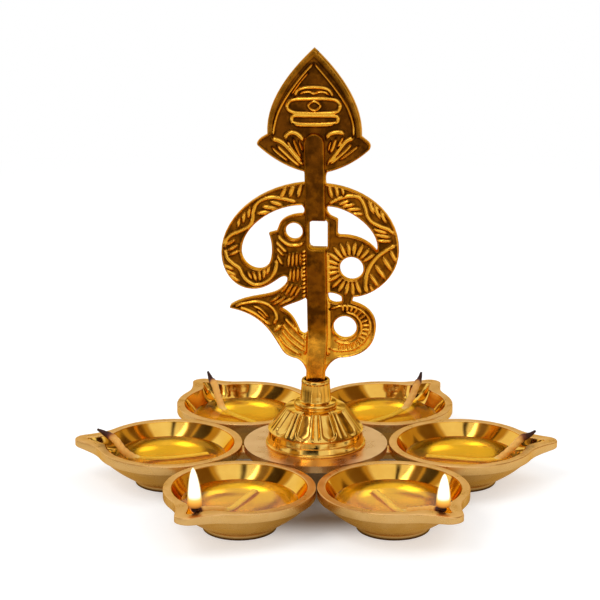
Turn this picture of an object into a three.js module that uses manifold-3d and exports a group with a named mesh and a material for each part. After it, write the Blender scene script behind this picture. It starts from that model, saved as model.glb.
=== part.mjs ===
import * as THREE from 'three';
import { mergeVertices } from 'three/addons/utils/BufferGeometryUtils.js';
import Module from 'manifold-3d';

// Six-wick brass lamp stand: six spouted bowls round a disc, a fluted bell and an openwork emblem.
// Millimetres, +Z up, the floor at z = 0 and the stand's axis at x = y = 0. The front faces -Y.

// Lamp bowls
const bowlRimRadius = 32;
const bowlHeight = 18;
const bowlRimWidth = 3.5;
const bowlFloorHeight = 4.4;
const bowlInnerCurve = 0.27;
const bowlWallBulge = 1.2;
const bandHeight = 4.2;
const bandStep = 1;
const footRadius = 15.6;
const footHeight = 1.9;
const footWall = 3.2;
const footRecess = 1.1;
const bowlSpacing = 0.4;

// Spout of each bowl
const spoutReach = 10.7;
const spoutTipHalfWidth = 4.1;
const spoutSpread = 30;
const spoutLipThickness = 3;
const channelReach = 8.6;
const channelTipHalfWidth = 1;
const channelSpread = 18;
const channelRise = 0.35;
const channelFloorShare = 0.9;
const noseTaper = 2.6;
const noseRoundness = 0.8;

// Disc under the bell
const discThickness = 3;
const discGap = 0.8;

// Ears under the disc and their screws
const earWidth = 9;
const earThickness = 3.4;
const earInset = 5.3;
const earRoot = 3.2;
const screwDiameter = 3;
const screwHeadDiameter = 5.6;
const screwHeadHeight = 2;
const screwHeadChamfer = 0.8;
const screwSlotWidth = 0.9;
const screwSlotDepth = 0.8;
const screwBite = 2;

// Bell
const flangeRadius = 22;
const flangeHeight = 2.2;
const drumRadius = 20.8;
const drumHeight = 5.6;
const coneFootRadius = 21;
const coneFootHeight = 7;
const shoulderRadius = 13.3;
const shoulderHeight = 16.8;
const collarRadius = 9.2;
const collarHeight = 19.6;
const neckRadius = 6.8;
const neckLipRadius = 6.2;
const bellHeight = 29.5;
const fluteCount = 10;
const fluteDepth = 1.1;
const panelHalfWidth = 0.26;
const grooveDepth = 0.7;
const grooveStart = 0.3;
const grooveEnd = 0.75;
const fluteFootShare = 0.1;
const fluteNeckShare = 0.97;
const fluteTopShare = 0.75;
const socketRadius = 5.1;
const socketDepth = 10.7;

// Tie rod, washer and nut
const rodDiameter = 4;
const rodReach = 14;
const rodTail = 1.6;
const washerDiameter = 12;
const washerThickness = 1;
const nutAcrossFlats = 7;
const nutHeight = 3.2;

// Emblem: its outline below is drawn at one height and scaled to the real one
const emblemHeight = 156.6;
const emblemDrawnHeight = 156.6;
const emblemCurveSteps = 10;
const plateThickness = 5;
const spineThickness = 8;
const spineHalfWidth = 4.35;
const spineDrop = 36.2;
const spineLowMiddle = 1;
const spineHighMiddle = -0.7;
const tangHalfWidth = 4.1;
const tangThickness = 4.8;
const tangTaperHeight = 20;
const windowWidth = 8;
const windowHeight = 12.4;
const windowMiddle = [1.1, 76.1];
const eyeRadius = 3.7;
const swirlHoleRadius = 5.1;
const emblemYaw = 6;

// Wicks
const wickRadius = 1.7;
const wickTipRadius = 0.5;
const burntLength = 8;

// Clearance round pins, screws and the tang
const fitGap = 0.3;

// The places that follow from the sizes above
const discTop = bowlHeight;
const discBottom = discTop - discThickness;
const discRadius = bowlSpacing + bowlRimRadius - discGap;
const ringRadius = 2 * bowlRimRadius + bowlSpacing;
const screwCircle = discRadius - earInset;
const bellTop = discTop + bellHeight;
const socketFloor = bellTop - socketDepth;
const innerRim = bowlRimRadius - bowlRimWidth;

// The shares of its depth at which a bowl's inside has rings, below the one that makes the channel
const innerShares = [0.012, 0.08, 0.25, 0.5];
const channelShare = 0.76;

// The shares of its height at which a bowl's wall has rings, each with its share of the spout's reach
const wallShares = [[0.25, 0], [0.55, 0.04], [0.8, 0.2], [0.97, 0.6]];

// Each bowl: its direction round the stand, the small turn of its spout, in degrees, and its wick's
// route. A route runs from the far side of the bowl to the burnt tip, as [along the spout, to its left]
// in shares of the bowl's inner radius, and where the wick is raised also the height of its underside
// over the rim, in millimetres.
const lamps = [
  {
    name: 'right',
    angle: 0,
    spoutTurn: 4,
    soaked: [[-0.53, 0.1], [-0.16, 0.03], [0.25, -0.1]],
    raised: [
      [0.52, -0.2, -8.7], [0.74, -0.18, -3.9], [0.93, -0.08, 0.2],
      [1.05, -0.02, 0.9], [1.16, 0.02, 2.5],
    ],
  },
  {
    name: 'back_right',
    angle: 60,
    spoutTurn: -8,
    soaked: [[-0.5, 0.03], [-0.14, 0], [0.2, -0.04]],
    raised: [
      [0.48, -0.08, -8.1], [0.7, -0.06, -4.3], [0.92, -0.01, 0.3],
      [1.06, 0.04, 1.2], [1.15, 0.06, 4.4],
    ],
  },
  {
    name: 'back_left',
    angle: 120,
    spoutTurn: 4,
    soaked: [[-0.52, 0.02], [-0.14, 0.04], [0.16, 0.09]],
    raised: [
      [0.44, 0.15, -8.3], [0.68, 0.1, -4.5], [0.92, 0.03, 0.3],
      [1.09, -0.01, 1.1], [1.19, -0.01, 4.3],
    ],
  },
  {
    name: 'left',
    angle: 180,
    spoutTurn: -8,
    soaked: [[-0.56, -0.24], [-0.25, -0.13], [0.16, 0.03]],
    raised: [
      [0.45, 0.17, -9.1], [0.66, 0.22, -5.1], [0.85, 0.11, -0.4],
      [0.99, 0.05, 1.1], [1.14, 0.02, 2.9],
    ],
  },
  {
    name: 'front_left',
    angle: 240,
    spoutTurn: -3,
    soaked: [[-0.55, -0.1], [-0.16, -0.05], [0.2, 0]],
    raised: [
      [0.5, 0.06, -7.4], [0.78, 0.06, -4.6], [0.93, 0.05, -3.2],
      [1.06, 0.03, -2.4], [1.19, 0.04, -0.4],
    ],
  },
  {
    name: 'front_right',
    angle: 300,
    spoutTurn: 6,
    soaked: [[-0.55, 0.08], [-0.2, 0.01], [0.22, -0.1]],
    raised: [
      [0.52, -0.13, -7.4], [0.78, -0.1, -4.6], [0.93, -0.06, -3.2],
      [1.06, -0.03, -2.4], [1.2, -0.04, -0.4],
    ],
  },
];

const wasm = await Module();
wasm.setup();

const castBrass = new THREE.MeshStandardMaterial({ color: 0xd9a85a, roughness: 0.32, metalness: 1 });
const bellBrass = new THREE.MeshStandardMaterial({ color: 0xe0b050, roughness: 0.16, metalness: 1 });
const emblemBrass = new THREE.MeshStandardMaterial({ color: 0xa86a18, roughness: 0.38, metalness: 1 });
const discBrass = new THREE.MeshStandardMaterial({ color: 0xd8b184, roughness: 0.45, metalness: 1 });
const screwBrass = new THREE.MeshStandardMaterial({ color: 0xc8a050, roughness: 0.35, metalness: 1 });
const cotton = new THREE.MeshStandardMaterial({ color: 0xe0b070, roughness: 0.9, metalness: 0 });

const degrees = THREE.MathUtils.degToRad;

// Turns a closed geometry into a solid for joining and cutting
function toSolid(geometry) {
  const bare = geometry.clone();
  bare.deleteAttribute('normal');
  bare.deleteAttribute('uv');
  const merged = mergeVertices(bare, 1e-5);
  const index = Array.from(merged.index.array);
  const triangles = [];
  for (let i = 0; i < index.length; i += 3) {
    const [a, b, c] = index.slice(i, i + 3);
    if (a !== b && b !== c && c !== a) triangles.push(a, b, c);
  }
  return new wasm.Manifold(new wasm.Mesh({
    numProp: 3,
    vertProperties: new Float32Array(merged.attributes.position.array),
    triVerts: new Uint32Array(triangles),
  }));
}

function toGeometry(solid) {
  const mesh = solid.getMesh();
  const geometry = new THREE.BufferGeometry();
  geometry.setAttribute('position', new THREE.BufferAttribute(new Float32Array(mesh.vertProperties), 3));
  geometry.setIndex(new THREE.BufferAttribute(new Uint32Array(mesh.triVerts), 1));
  geometry.computeVertexNormals();
  return geometry;
}

// A closed skin over rings of equally many points, with a fan to the middle of the first and last ring
function loft(rings, firstPole, lastPole) {
  const size = rings[0].length;
  const points = [firstPole, ...rings.flat(), lastPole];
  const last = points.length - 1;
  const triangles = [];
  for (let i = 0; i < size; i += 1) {
    const next = (i + 1) % size;
    triangles.push(0, 1 + next, 1 + i);
    for (let k = 0; k < rings.length - 1; k += 1) {
      const low = 1 + k * size;
      const high = low + size;
      triangles.push(low + i, low + next, high + next, low + i, high + next, high + i);
    }
    triangles.push(last, last - size + i, last - size + next);
  }
  const geometry = new THREE.BufferGeometry().setFromPoints(points);
  geometry.setIndex(triangles);
  geometry.computeVertexNormals();
  return geometry;
}

// A turned piece from a profile of [radius, height] points
function turned(profile, segments) {
  return new THREE.LatheGeometry(profile.map(([r, z]) => new THREE.Vector2(r, z)), segments)
    .rotateX(Math.PI / 2);
}

function rod(radius, bottom, top, segments) {
  return turned([[0, bottom], [radius, bottom], [radius, top], [0, top]], segments);
}

// A flat shape drawn in x and z, made thick along y and centred on y = 0
function plate(shape, thickness, curveSegments) {
  return new THREE.ExtrudeGeometry(shape, { depth: thickness, bevelEnabled: false, curveSegments })
    .rotateX(Math.PI / 2)
    .translate(0, thickness / 2, 0);
}

// The angles, in degrees from the spout, at which a bowl's rings have their points: close together
// across the spout and wide apart round the rest
function ringAngles() {
  const spoutAngles = [0, 2.5, 5, 7, 10, 14, 19, 26];
  const wideCount = 11;
  const wideStart = spoutAngles.at(-1);
  const half = [...spoutAngles];
  for (let i = 1; i <= wideCount; i += 1) half.push(THREE.MathUtils.lerp(wideStart, 180, i / wideCount));
  const otherHalf = half.slice(1, -1).reverse().map((angle) => 360 - angle);
  return [...half, ...otherHalf];
}

// How far a nose of the given reach and tip half width stands out of a circle, at an angle from the
// nose's middle: a round tip between two flanks that run out into the circle
function noseReach(angle, circle, reach, tipHalfWidth, spread) {
  const off = Math.abs(angle > 180 ? angle - 360 : angle);
  const tipAngle = THREE.MathUtils.radToDeg(Math.atan2(tipHalfWidth, circle + reach));
  const setBack = (share) => tipHalfWidth * (1 - Math.sqrt(1 - (share * noseRoundness) ** 2));
  if (off <= tipAngle) return reach - setBack(off / tipAngle);
  const fall = Math.min((off - tipAngle) / (spread - tipAngle), 1);
  return (reach - setBack(1)) * (1 - fall) ** noseTaper;
}

// One ring of a bowl: a circle with a share of the spout or channel standing out of it
function bowlRing(angles, turn, circle, heightAt, reachAt) {
  return angles.map((angle) => {
    const direction = degrees(angle + turn);
    const reach = reachAt(angle);
    const radius = circle + reach;
    return new THREE.Vector3(radius * Math.cos(direction), radius * Math.sin(direction), heightAt(reach));
  });
}

// The inside of a bowl at a share of its depth, as [radius, height]
function innerPoint(share) {
  const radius = innerRim * share ** bowlInnerCurve;
  return [radius, THREE.MathUtils.lerp(bowlFloorHeight, bowlHeight, share)];
}

// The bowl in its own frame: its axis at x = y = 0 and away from the stand along +X
function bowlBody(spoutTurn) {
  const angles = ringAngles();
  const bandBottom = bowlHeight - bandHeight;
  const wallTop = bowlRimRadius - bandStep;
  const spout = (angle) => noseReach(angle, bowlRimRadius, spoutReach, spoutTipHalfWidth, spoutSpread);
  const channel = (angle) => noseReach(angle, innerRim, channelReach, channelTipHalfWidth, channelSpread);
  const none = () => 0;
  const flat = (height) => () => height;
  const lipBottom = bowlHeight - spoutLipThickness;
  const wallPoint = (share) => {
    const radius = footRadius + share * (wallTop - footRadius) + bowlWallBulge * Math.sin(Math.PI * share);
    return [radius, footHeight + share * (bandBottom - footHeight)];
  };
  const wallRing = (share, spoutShare) => {
    const [radius, height] = wallPoint(share);
    const rise = lipBottom - height;
    return bowlRing(angles, spoutTurn, radius, (reach) => height + rise * Math.min(reach / spoutReach, 1),
      (angle) => spout(angle) * spoutShare);
  };
  const innerRing = (share) => {
    const [radius, height] = innerPoint(share);
    return bowlRing(angles, spoutTurn, radius, flat(height), none);
  };
  const [channelRadius, channelHeight] = innerPoint(channelShare);
  const channelFloor = (reach) => {
    const rise = channelRise * (bowlHeight - channelHeight);
    return channelHeight + rise * (reach / channelReach);
  };
  const bandFoot = (reach) => THREE.MathUtils.lerp(bandBottom, lipBottom, reach / spoutReach);
  const rings = [
    bowlRing(angles, spoutTurn, footRadius - footWall, flat(footRecess), none),
    bowlRing(angles, spoutTurn, footRadius - footWall, flat(0), none),
    bowlRing(angles, spoutTurn, footRadius, flat(0), none),
    bowlRing(angles, spoutTurn, footRadius, flat(footHeight), none),
    ...wallShares.map(([share, spoutShare]) => wallRing(share, spoutShare)),
    bowlRing(angles, spoutTurn, bowlRimRadius, bandFoot, spout),
    bowlRing(angles, spoutTurn, bowlRimRadius, flat(bowlHeight), spout),
    bowlRing(angles, spoutTurn, innerRim, flat(bowlHeight), channel),
    bowlRing(angles, spoutTurn, channelRadius, channelFloor, (angle) => channel(angle) * channelFloorShare),
    ...[...innerShares].reverse().map(innerRing),
  ];
  return loft(rings, new THREE.Vector3(0, 0, footRecess), new THREE.Vector3(0, 0, bowlFloorHeight));
}

// A flat ear from the bowl's wall to the screw under the disc, with the screw's clearance hole
function ear() {
  const start = -(bowlRimRadius - earRoot);
  const end = -(ringRadius - screwCircle);
  const half = earWidth / 2;
  const outline = new THREE.Shape();
  outline.moveTo(start, half);
  outline.lineTo(end, half);
  outline.absarc(end, 0, half, Math.PI / 2, 1.5 * Math.PI, false);
  outline.lineTo(start, -half);
  outline.closePath();
  const hole = new THREE.Path();
  hole.absarc(end, 0, screwDiameter / 2 + fitGap, 0, 2 * Math.PI, true);
  outline.holes.push(hole);
  return new THREE.ExtrudeGeometry(outline, { depth: earThickness, bevelEnabled: false, curveSegments: 8 })
    .translate(0, 0, discBottom - earThickness);
}

function bowl(spoutTurn) {
  const body = toSolid(bowlBody(spoutTurn));
  return toGeometry(body.add(toSolid(ear())));
}

// Pan head screw, up through the ear into the disc, with a slot across its head
function earScrew() {
  const segments = 16;
  const headTop = discBottom - earThickness;
  const headBottom = headTop - screwHeadHeight;
  const headRadius = screwHeadDiameter / 2;
  const profile = [
    [0, headBottom],
    [headRadius - screwHeadChamfer, headBottom],
    [headRadius, headBottom + screwHeadChamfer],
    [headRadius, headTop],
    [screwDiameter / 2, headTop],
    [screwDiameter / 2, discBottom + screwBite - fitGap],
    [0, discBottom + screwBite - fitGap],
  ];
  const slot = new THREE.BoxGeometry(screwHeadDiameter * 2, screwSlotWidth, screwSlotDepth * 2)
    .translate(0, 0, headBottom);
  return toGeometry(toSolid(turned(profile, segments)).subtract(toSolid(slot)));
}

// Disc with a hole for the rod and blind holes for the ear screws
function disc() {
  let solid = toSolid(rod(discRadius, discBottom, discTop, 72));
  solid = solid.subtract(toSolid(rod(rodDiameter / 2 + fitGap, discBottom - 1, discTop + 1, 16)));
  lamps.forEach((lamp) => {
    const angle = degrees(lamp.angle);
    const hole = rod(screwDiameter / 2 + fitGap, discBottom - 1, discBottom + screwBite, 12)
      .translate(screwCircle * Math.cos(angle), screwCircle * Math.sin(angle), 0);
    solid = solid.subtract(toSolid(hole));
  });
  return toGeometry(solid);
}

// Radius cut away by the flutes at a place counted in flutes: a reed between two narrow grooves at
// whole numbers, and a wide sunk panel half way between
function fluteCut(turn) {
  const place = turn - Math.floor(turn);
  const fromPanel = Math.abs(place - 0.5);
  if (fromPanel < panelHalfWidth) return fluteDepth;
  const towardsReed = (fromPanel - panelHalfWidth) / (0.5 - panelHalfWidth);
  return towardsReed > grooveStart && towardsReed < grooveEnd ? grooveDepth : 0;
}

// Bell with a fluted cone, bored for the rod, with the socket for the emblem's tang in its neck
function bell() {
  const perFlute = 10;
  const segments = fluteCount * perFlute;
  const ring = (radius, height, share) => Array.from({ length: segments }, (_, i) => {
    const turn = (i + 0.5) / perFlute;
    const direction = (2 * Math.PI * turn) / fluteCount - Math.PI / 2;
    const r = radius - share * fluteCut(turn);
    return new THREE.Vector3(r * Math.cos(direction), r * Math.sin(direction), discTop + height);
  });
  const coneAt = (share) => [
    THREE.MathUtils.lerp(coneFootRadius, shoulderRadius, share),
    THREE.MathUtils.lerp(coneFootHeight, shoulderHeight, share),
  ];
  const rings = [
    ring(flangeRadius, 0, 0),
    ring(flangeRadius, flangeHeight, 0),
    ring(drumRadius, flangeHeight, 0),
    ring(drumRadius, drumHeight, 0),
    ring(coneFootRadius, coneFootHeight, 0),
    ring(...coneAt(fluteFootShare), 1),
    ring(...coneAt(fluteNeckShare), fluteTopShare),
    ring(...coneAt(1), fluteTopShare),
    ring(collarRadius, shoulderHeight, 0),
    ring(collarRadius, collarHeight, 0),
    ring(neckRadius, collarHeight, 0),
    ring(neckLipRadius, bellHeight, 0),
  ];
  const body = loft(rings, new THREE.Vector3(0, 0, discTop), new THREE.Vector3(0, 0, bellTop));
  const bore = rod(rodDiameter / 2 + fitGap, discTop - 1, bellTop, 16);
  const socket = rod(socketRadius, socketFloor, bellTop + 1, 32);
  return toGeometry(toSolid(body).subtract(toSolid(bore)).subtract(toSolid(socket)));
}

// The openwork plate, seen from the front: x to the right, heights above the tang's foot
function emblemOutline() {
  const outline = new THREE.Shape();
  outline.moveTo(3.5, 12);
  outline.quadraticCurveTo(5.6, 19.4, 10.7, 21);
  outline.bezierCurveTo(19.5, 21.4, 26, 25.7, 26.2, 34.7);
  outline.bezierCurveTo(26.3, 40.7, 22.5, 44.7, 15.8, 46.2);
  outline.lineTo(16.4, 48.6);
  outline.bezierCurveTo(24.6, 48.9, 35.7, 57.6, 35.8, 68.8);
  outline.bezierCurveTo(36, 87.7, 19, 97.2, 4.4, 98.2);
  outline.quadraticCurveTo(3.7, 101.4, 5, 103.5);
  outline.bezierCurveTo(11.5, 105, 18.5, 109.2, 22.9, 113.6);
  outline.quadraticCurveTo(24, 115.6, 21.5, 117.4);
  outline.lineTo(19.5, 119);
  outline.bezierCurveTo(20, 134, 8.5, 148, -0.9, emblemDrawnHeight);
  outline.bezierCurveTo(-10.5, 147.5, -21.8, 134, -20.8, 119.4);
  outline.lineTo(-23.4, 117.8);
  outline.quadraticCurveTo(-26.2, 115.8, -24.8, 114.3);
  outline.bezierCurveTo(-19.5, 109.4, -12, 105, -5.2, 103.6);
  outline.quadraticCurveTo(-4.2, 101.4, -5, 98.7);
  outline.bezierCurveTo(-25.4, 96.4, -41, 82.2, -41, 67);
  outline.bezierCurveTo(-41, 58.8, -36, 51.2, -27.6, 51);
  outline.bezierCurveTo(-23, 51, -20, 53, -15.6, 56.3);
  outline.quadraticCurveTo(-13.2, 57.8, -12.4, 56.4);
  outline.quadraticCurveTo(-12, 53.5, -16.2, 50.6);
  outline.bezierCurveTo(-21, 47.4, -30, 48.2, -37, 43.6);
  outline.quadraticCurveTo(-38.4, 42, -36.4, 41.9);
  outline.bezierCurveTo(-22, 39, -19, 30.2, -14.4, 23.3);
  outline.quadraticCurveTo(-12.6, 20.8, -8.3, 20.1);
  outline.quadraticCurveTo(-4.4, 18.4, -3.5, 12);
  outline.closePath();
  outline.holes.push(leftCrescent(), rightCrescent(), forkGap(), linkGap());
  outline.holes.push(roundHole(-9.4, 77.2, eyeRadius));
  outline.holes.push(roundHole(15.5, 61.3, swirlHoleRadius), roundHole(12.8, 34.8, swirlHoleRadius));
  return outline;
}

function roundHole(x, z, radius) {
  const hole = new THREE.Path();
  hole.absarc(x, z, radius, 0, 2 * Math.PI, true);
  return hole;
}

function leftCrescent() {
  const hole = new THREE.Path();
  hole.moveTo(-6, 88.8);
  hole.quadraticCurveTo(-4, 86.8, -5.8, 84.9);
  hole.bezierCurveTo(-10, 84.8, -15.4, 83, -16.1, 79.2);
  hole.lineTo(-17, 77);
  hole.lineTo(-20.3, 76);
  hole.bezierCurveTo(-18.4, 71, -18.6, 65.2, -20.6, 61.9);
  hole.bezierCurveTo(-24, 57.6, -31.8, 60.6, -32.4, 67.4);
  hole.bezierCurveTo(-32.4, 77.5, -20, 88.4, -6, 88.8);
  return hole;
}

function rightCrescent() {
  const hole = new THREE.Path();
  hole.moveTo(5.2, 88.5);
  hole.bezierCurveTo(14.5, 88.6, 28.4, 78.4, 26.4, 69.2);
  hole.bezierCurveTo(23, 73.8, 17, 76.2, 10.6, 75.9);
  hole.quadraticCurveTo(9.4, 76, 9.4, 77.2);
  hole.lineTo(9.5, 82.8);
  hole.lineTo(6.5, 84.2);
  hole.quadraticCurveTo(4, 86.4, 5.2, 88.5);
  return hole;
}

function forkGap() {
  const hole = new THREE.Path();
  hole.moveTo(-4.4, 47.6);
  hole.quadraticCurveTo(-3.2, 46.4, -3.3, 44);
  hole.lineTo(-3.3, 33);
  hole.quadraticCurveTo(-4.6, 29.6, -7, 32.4);
  hole.bezierCurveTo(-9.5, 39, -12, 41, -15.1, 42.4);
  hole.bezierCurveTo(-12, 44.8, -8, 45.2, -4.4, 47.6);
  return hole;
}

function linkGap() {
  const hole = new THREE.Path();
  hole.moveTo(5.5, 50.2);
  hole.quadraticCurveTo(9, 50.4, 11.2, 48.7);
  hole.lineTo(11.5, 46.3);
  hole.quadraticCurveTo(8.6, 44.8, 6, 46.6);
  hole.quadraticCurveTo(5, 48.4, 5.5, 50.2);
  return hole;
}

// The spine bar from the front: a little off the vertical, with a round top
function spineFront(spineTop) {
  const front = new THREE.Shape();
  front.moveTo(-tangHalfWidth, 0);
  front.lineTo(tangHalfWidth, 0);
  front.lineTo(tangHalfWidth, socketDepth + 2);
  front.lineTo(spineLowMiddle + spineHalfWidth, socketDepth + tangTaperHeight);
  front.lineTo(spineHighMiddle + spineHalfWidth, spineTop - spineHalfWidth);
  front.absarc(spineHighMiddle, spineTop - spineHalfWidth, spineHalfWidth, 0, Math.PI, false);
  front.lineTo(spineLowMiddle - spineHalfWidth, socketDepth + tangTaperHeight);
  front.lineTo(-tangHalfWidth, socketDepth + 2);
  front.closePath();
  return front;
}

// The spine bar from the side: thin at the tang, full above the taper
function spineSide(spineTop) {
  const tangHalf = tangThickness / 2;
  const fullHalf = spineThickness / 2;
  const side = new THREE.Shape();
  side.moveTo(-tangHalf, 0);
  side.lineTo(tangHalf, 0);
  side.lineTo(tangHalf, socketDepth);
  side.lineTo(fullHalf, socketDepth + tangTaperHeight);
  side.lineTo(fullHalf, spineTop);
  side.lineTo(-fullHalf, spineTop);
  side.lineTo(-fullHalf, socketDepth + tangTaperHeight);
  side.lineTo(-tangHalf, socketDepth);
  side.closePath();
  return side;
}

function emblem() {
  const spineTop = emblemHeight - spineDrop;
  const front = toSolid(plate(spineFront(spineTop), spineThickness * 2, 10));
  const side = toSolid(plate(spineSide(spineTop), spineHalfWidth * 8, 1).rotateZ(Math.PI / 2));
  const spine = front.intersect(side);
  const emblemScale = emblemHeight / emblemDrawnHeight;
  const flatWork = plate(emblemOutline(), plateThickness, emblemCurveSteps);
  const openwork = toSolid(flatWork.scale(emblemScale, 1, emblemScale));
  const [windowX, windowZ] = windowMiddle.map((place) => place * emblemScale);
  const window = new THREE.BoxGeometry(windowWidth, spineThickness * 2, windowHeight)
    .translate(windowX, 0, windowZ);
  const bore = rod(rodDiameter / 2 + fitGap, -1, rodReach - socketDepth + fitGap, 16);
  return toGeometry(openwork.add(spine).subtract(toSolid(window)).subtract(toSolid(bore)));
}

// Height at which the middle of a wick lies when it just clears the round inside of the bowl
function restHeight(radius) {
  const profile = [[0, bowlFloorHeight], ...[...innerShares, channelShare].map(innerPoint)];
  const above = profile.findIndex(([r]) => r > radius);
  if (above < 0) return 0;
  const [r0, z0] = profile[above - 1];
  const [r1, z1] = profile[above];
  const height = THREE.MathUtils.mapLinear(radius, r0, r1, z0, z1);
  const slope = Math.atan2(z1 - z0, r1 - r0);
  return height + (wickRadius + fitGap) / Math.cos(slope);
}

// The points of a wick's route in the frame of its spout
function wickPoints({ soaked, raised }) {
  const place = ([along, across], height) => {
    const x = along * innerRim;
    const y = across * innerRim;
    return new THREE.Vector3(x, y, Math.max(height, restHeight(Math.hypot(x, y))));
  };
  return [
    ...soaked.map((point) => place(point, 0)),
    ...raised.map((point) => place(point, bowlHeight + wickRadius + point[2])),
  ];
}

// A cotton wick along its route, thin at the burnt tip
function wick(lamp) {
  const curve = new THREE.CatmullRomCurve3(wickPoints(lamp));
  const length = curve.getLength();
  const sides = 8;
  const steps = Math.round(length / (wickRadius * 3.2));
  const frames = curve.computeFrenetFrames(steps, false);
  const centres = [];
  const rings = [];
  for (let i = 0; i <= steps; i += 1) {
    const centre = curve.getPointAt(i / steps);
    centre.z = Math.max(centre.z, restHeight(Math.hypot(centre.x, centre.y)));
    centres.push(centre);
    const toTip = (1 - i / steps) * length;
    const share = Math.min(toTip / burntLength, 1);
    const radius = THREE.MathUtils.lerp(wickTipRadius, wickRadius, share);
    rings.push(Array.from({ length: sides }, (_, k) => {
      const angle = (2 * Math.PI * k) / sides;
      return centre.clone()
        .addScaledVector(frames.normals[i], radius * Math.cos(angle))
        .addScaledVector(frames.binormals[i], radius * Math.sin(angle));
    }));
  }
  return loft(rings, centres[0], centres.at(-1));
}

function piece(name, geometry, material) {
  const mesh = new THREE.Mesh(geometry, material);
  mesh.name = name;
  return mesh;
}

const group = new THREE.Group();
group.name = 'six_wick_lamp_stand';

const emblemPiece = piece('emblem', emblem(), emblemBrass);
emblemPiece.position.z = socketFloor;
emblemPiece.rotation.z = -degrees(emblemYaw);
group.add(emblemPiece);

group.add(piece('base_bell', bell(), bellBrass));
group.add(piece('base_disc', disc(), discBrass));

const washerTop = discBottom;
const nutTop = washerTop - washerThickness;
const nutBottom = nutTop - nutHeight;
const washer = turned([
  [rodDiameter / 2 + fitGap, nutTop],
  [washerDiameter / 2, nutTop],
  [washerDiameter / 2, washerTop],
  [rodDiameter / 2 + fitGap, washerTop],
  [rodDiameter / 2 + fitGap, nutTop],
], 24);
group.add(piece('tie_washer', washer, screwBrass));

const nutBody = rod(nutAcrossFlats / Math.sqrt(3), nutBottom, nutTop, 6);
const nutBore = rod(rodDiameter / 2 + fitGap, nutBottom - 1, nutTop + 1, 16);
group.add(piece('tie_nut', toGeometry(toSolid(nutBody).subtract(toSolid(nutBore))), screwBrass));
const rodTop = socketFloor + rodReach - socketDepth;
group.add(piece('tie_rod', rod(rodDiameter / 2, nutBottom - rodTail, rodTop, 16), screwBrass));

lamps.forEach((lamp) => {
  const angle = degrees(lamp.angle);
  const arm = new THREE.Group();
  arm.rotation.z = angle;
  const lampBowl = piece(`bowl_${lamp.name}`, bowl(lamp.spoutTurn), castBrass);
  lampBowl.position.x = ringRadius;
  const lampWick = piece(`wick_${lamp.name}`, wick(lamp), cotton);
  lampWick.position.x = ringRadius;
  lampWick.rotation.z = degrees(lamp.spoutTurn);
  const screw = piece(`ear_screw_${lamp.name}`, earScrew(), screwBrass);
  screw.position.x = screwCircle;
  arm.add(lampBowl, lampWick, screw);
  group.add(arm);
});

export default group;
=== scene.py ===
# Six-wick brass lamp stand: cast bowls round a disc, a fluted bell and an openwork emblem plate.
# Metres, +Z up, the floor at z = 0, the front of the emblem towards -Y.

import math

import bpy
import numpy as np
from mathutils import Matrix, Vector
from mathutils.geometry import delaunay_2d_cdt
from mathutils.kdtree import KDTree


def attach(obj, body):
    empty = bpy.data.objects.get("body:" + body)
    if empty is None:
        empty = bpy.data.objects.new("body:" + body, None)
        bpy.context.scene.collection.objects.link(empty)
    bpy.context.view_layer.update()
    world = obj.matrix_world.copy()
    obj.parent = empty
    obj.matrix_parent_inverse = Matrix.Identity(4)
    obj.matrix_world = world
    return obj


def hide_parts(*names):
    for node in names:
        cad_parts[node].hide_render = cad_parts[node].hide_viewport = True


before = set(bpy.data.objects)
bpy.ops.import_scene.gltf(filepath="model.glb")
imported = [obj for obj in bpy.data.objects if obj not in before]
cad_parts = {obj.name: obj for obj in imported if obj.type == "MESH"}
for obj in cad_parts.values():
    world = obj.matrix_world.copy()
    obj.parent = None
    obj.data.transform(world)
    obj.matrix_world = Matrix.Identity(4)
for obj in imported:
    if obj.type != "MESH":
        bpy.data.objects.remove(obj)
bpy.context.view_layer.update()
print("frame loaded")

mm = 0.001
scene = bpy.context.scene
scene.view_settings.view_transform = "Standard"


# Small helpers

def colour(code):
    # an sRGB hex value as linear numbers
    parts = [int(code[i:i + 2], 16) / 255 for i in (1, 3, 5)]
    return [p / 12.92 if p <= 0.04045 else ((p + 0.055) / 1.055) ** 2.4 for p in parts] + [1.0]


# map ranges that ease in and out
smoothly = {"interpolation_type": "SMOOTHSTEP"}


def addNode(tree, kind, inputs=(), **settings):
    # inputs by place or by name: a node or a socket is linked, anything else is typed in
    node = tree.nodes.new(kind)
    for name, value in settings.items():
        setattr(node, name, value)
    for key, value in inputs.items() if isinstance(inputs, dict) else enumerate(inputs):
        if isinstance(value, bpy.types.Node):
            value = value.outputs[0]
        if isinstance(value, bpy.types.NodeSocket):
            tree.links.new(value, node.inputs[key])
        else:
            node.inputs[key].default_value = value
    return node


def setStops(ramp, tones):
    # the tones of a colour ramp as pairs of place and hex value, the first at its start
    stops = ramp.color_ramp.elements
    stops.remove(stops[1])
    stops[0].color = colour(tones[0][1])
    for place, code in tones[1:]:
        stops.new(place).color = colour(code)


def newTree(name, sizes, helpers=()):
    # a geometry tree with its named inputs, and the sockets that they arrive on
    tree = bpy.data.node_groups.new(name, "GeometryNodeTree")
    kinds = {"Geometry": "Geometry", **dict.fromkeys(helpers, "Object"), **dict.fromkeys(sizes, "Float"),
             "Finish": "Material"}
    for label, kind in kinds.items():
        tree.interface.new_socket(label, in_out="INPUT", socket_type=f"NodeSocket{kind}")
    tree.interface.new_socket("Geometry", in_out="OUTPUT", socket_type="NodeSocketGeometry")
    return tree, addNode(tree, "NodeGroupInput").outputs


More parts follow.
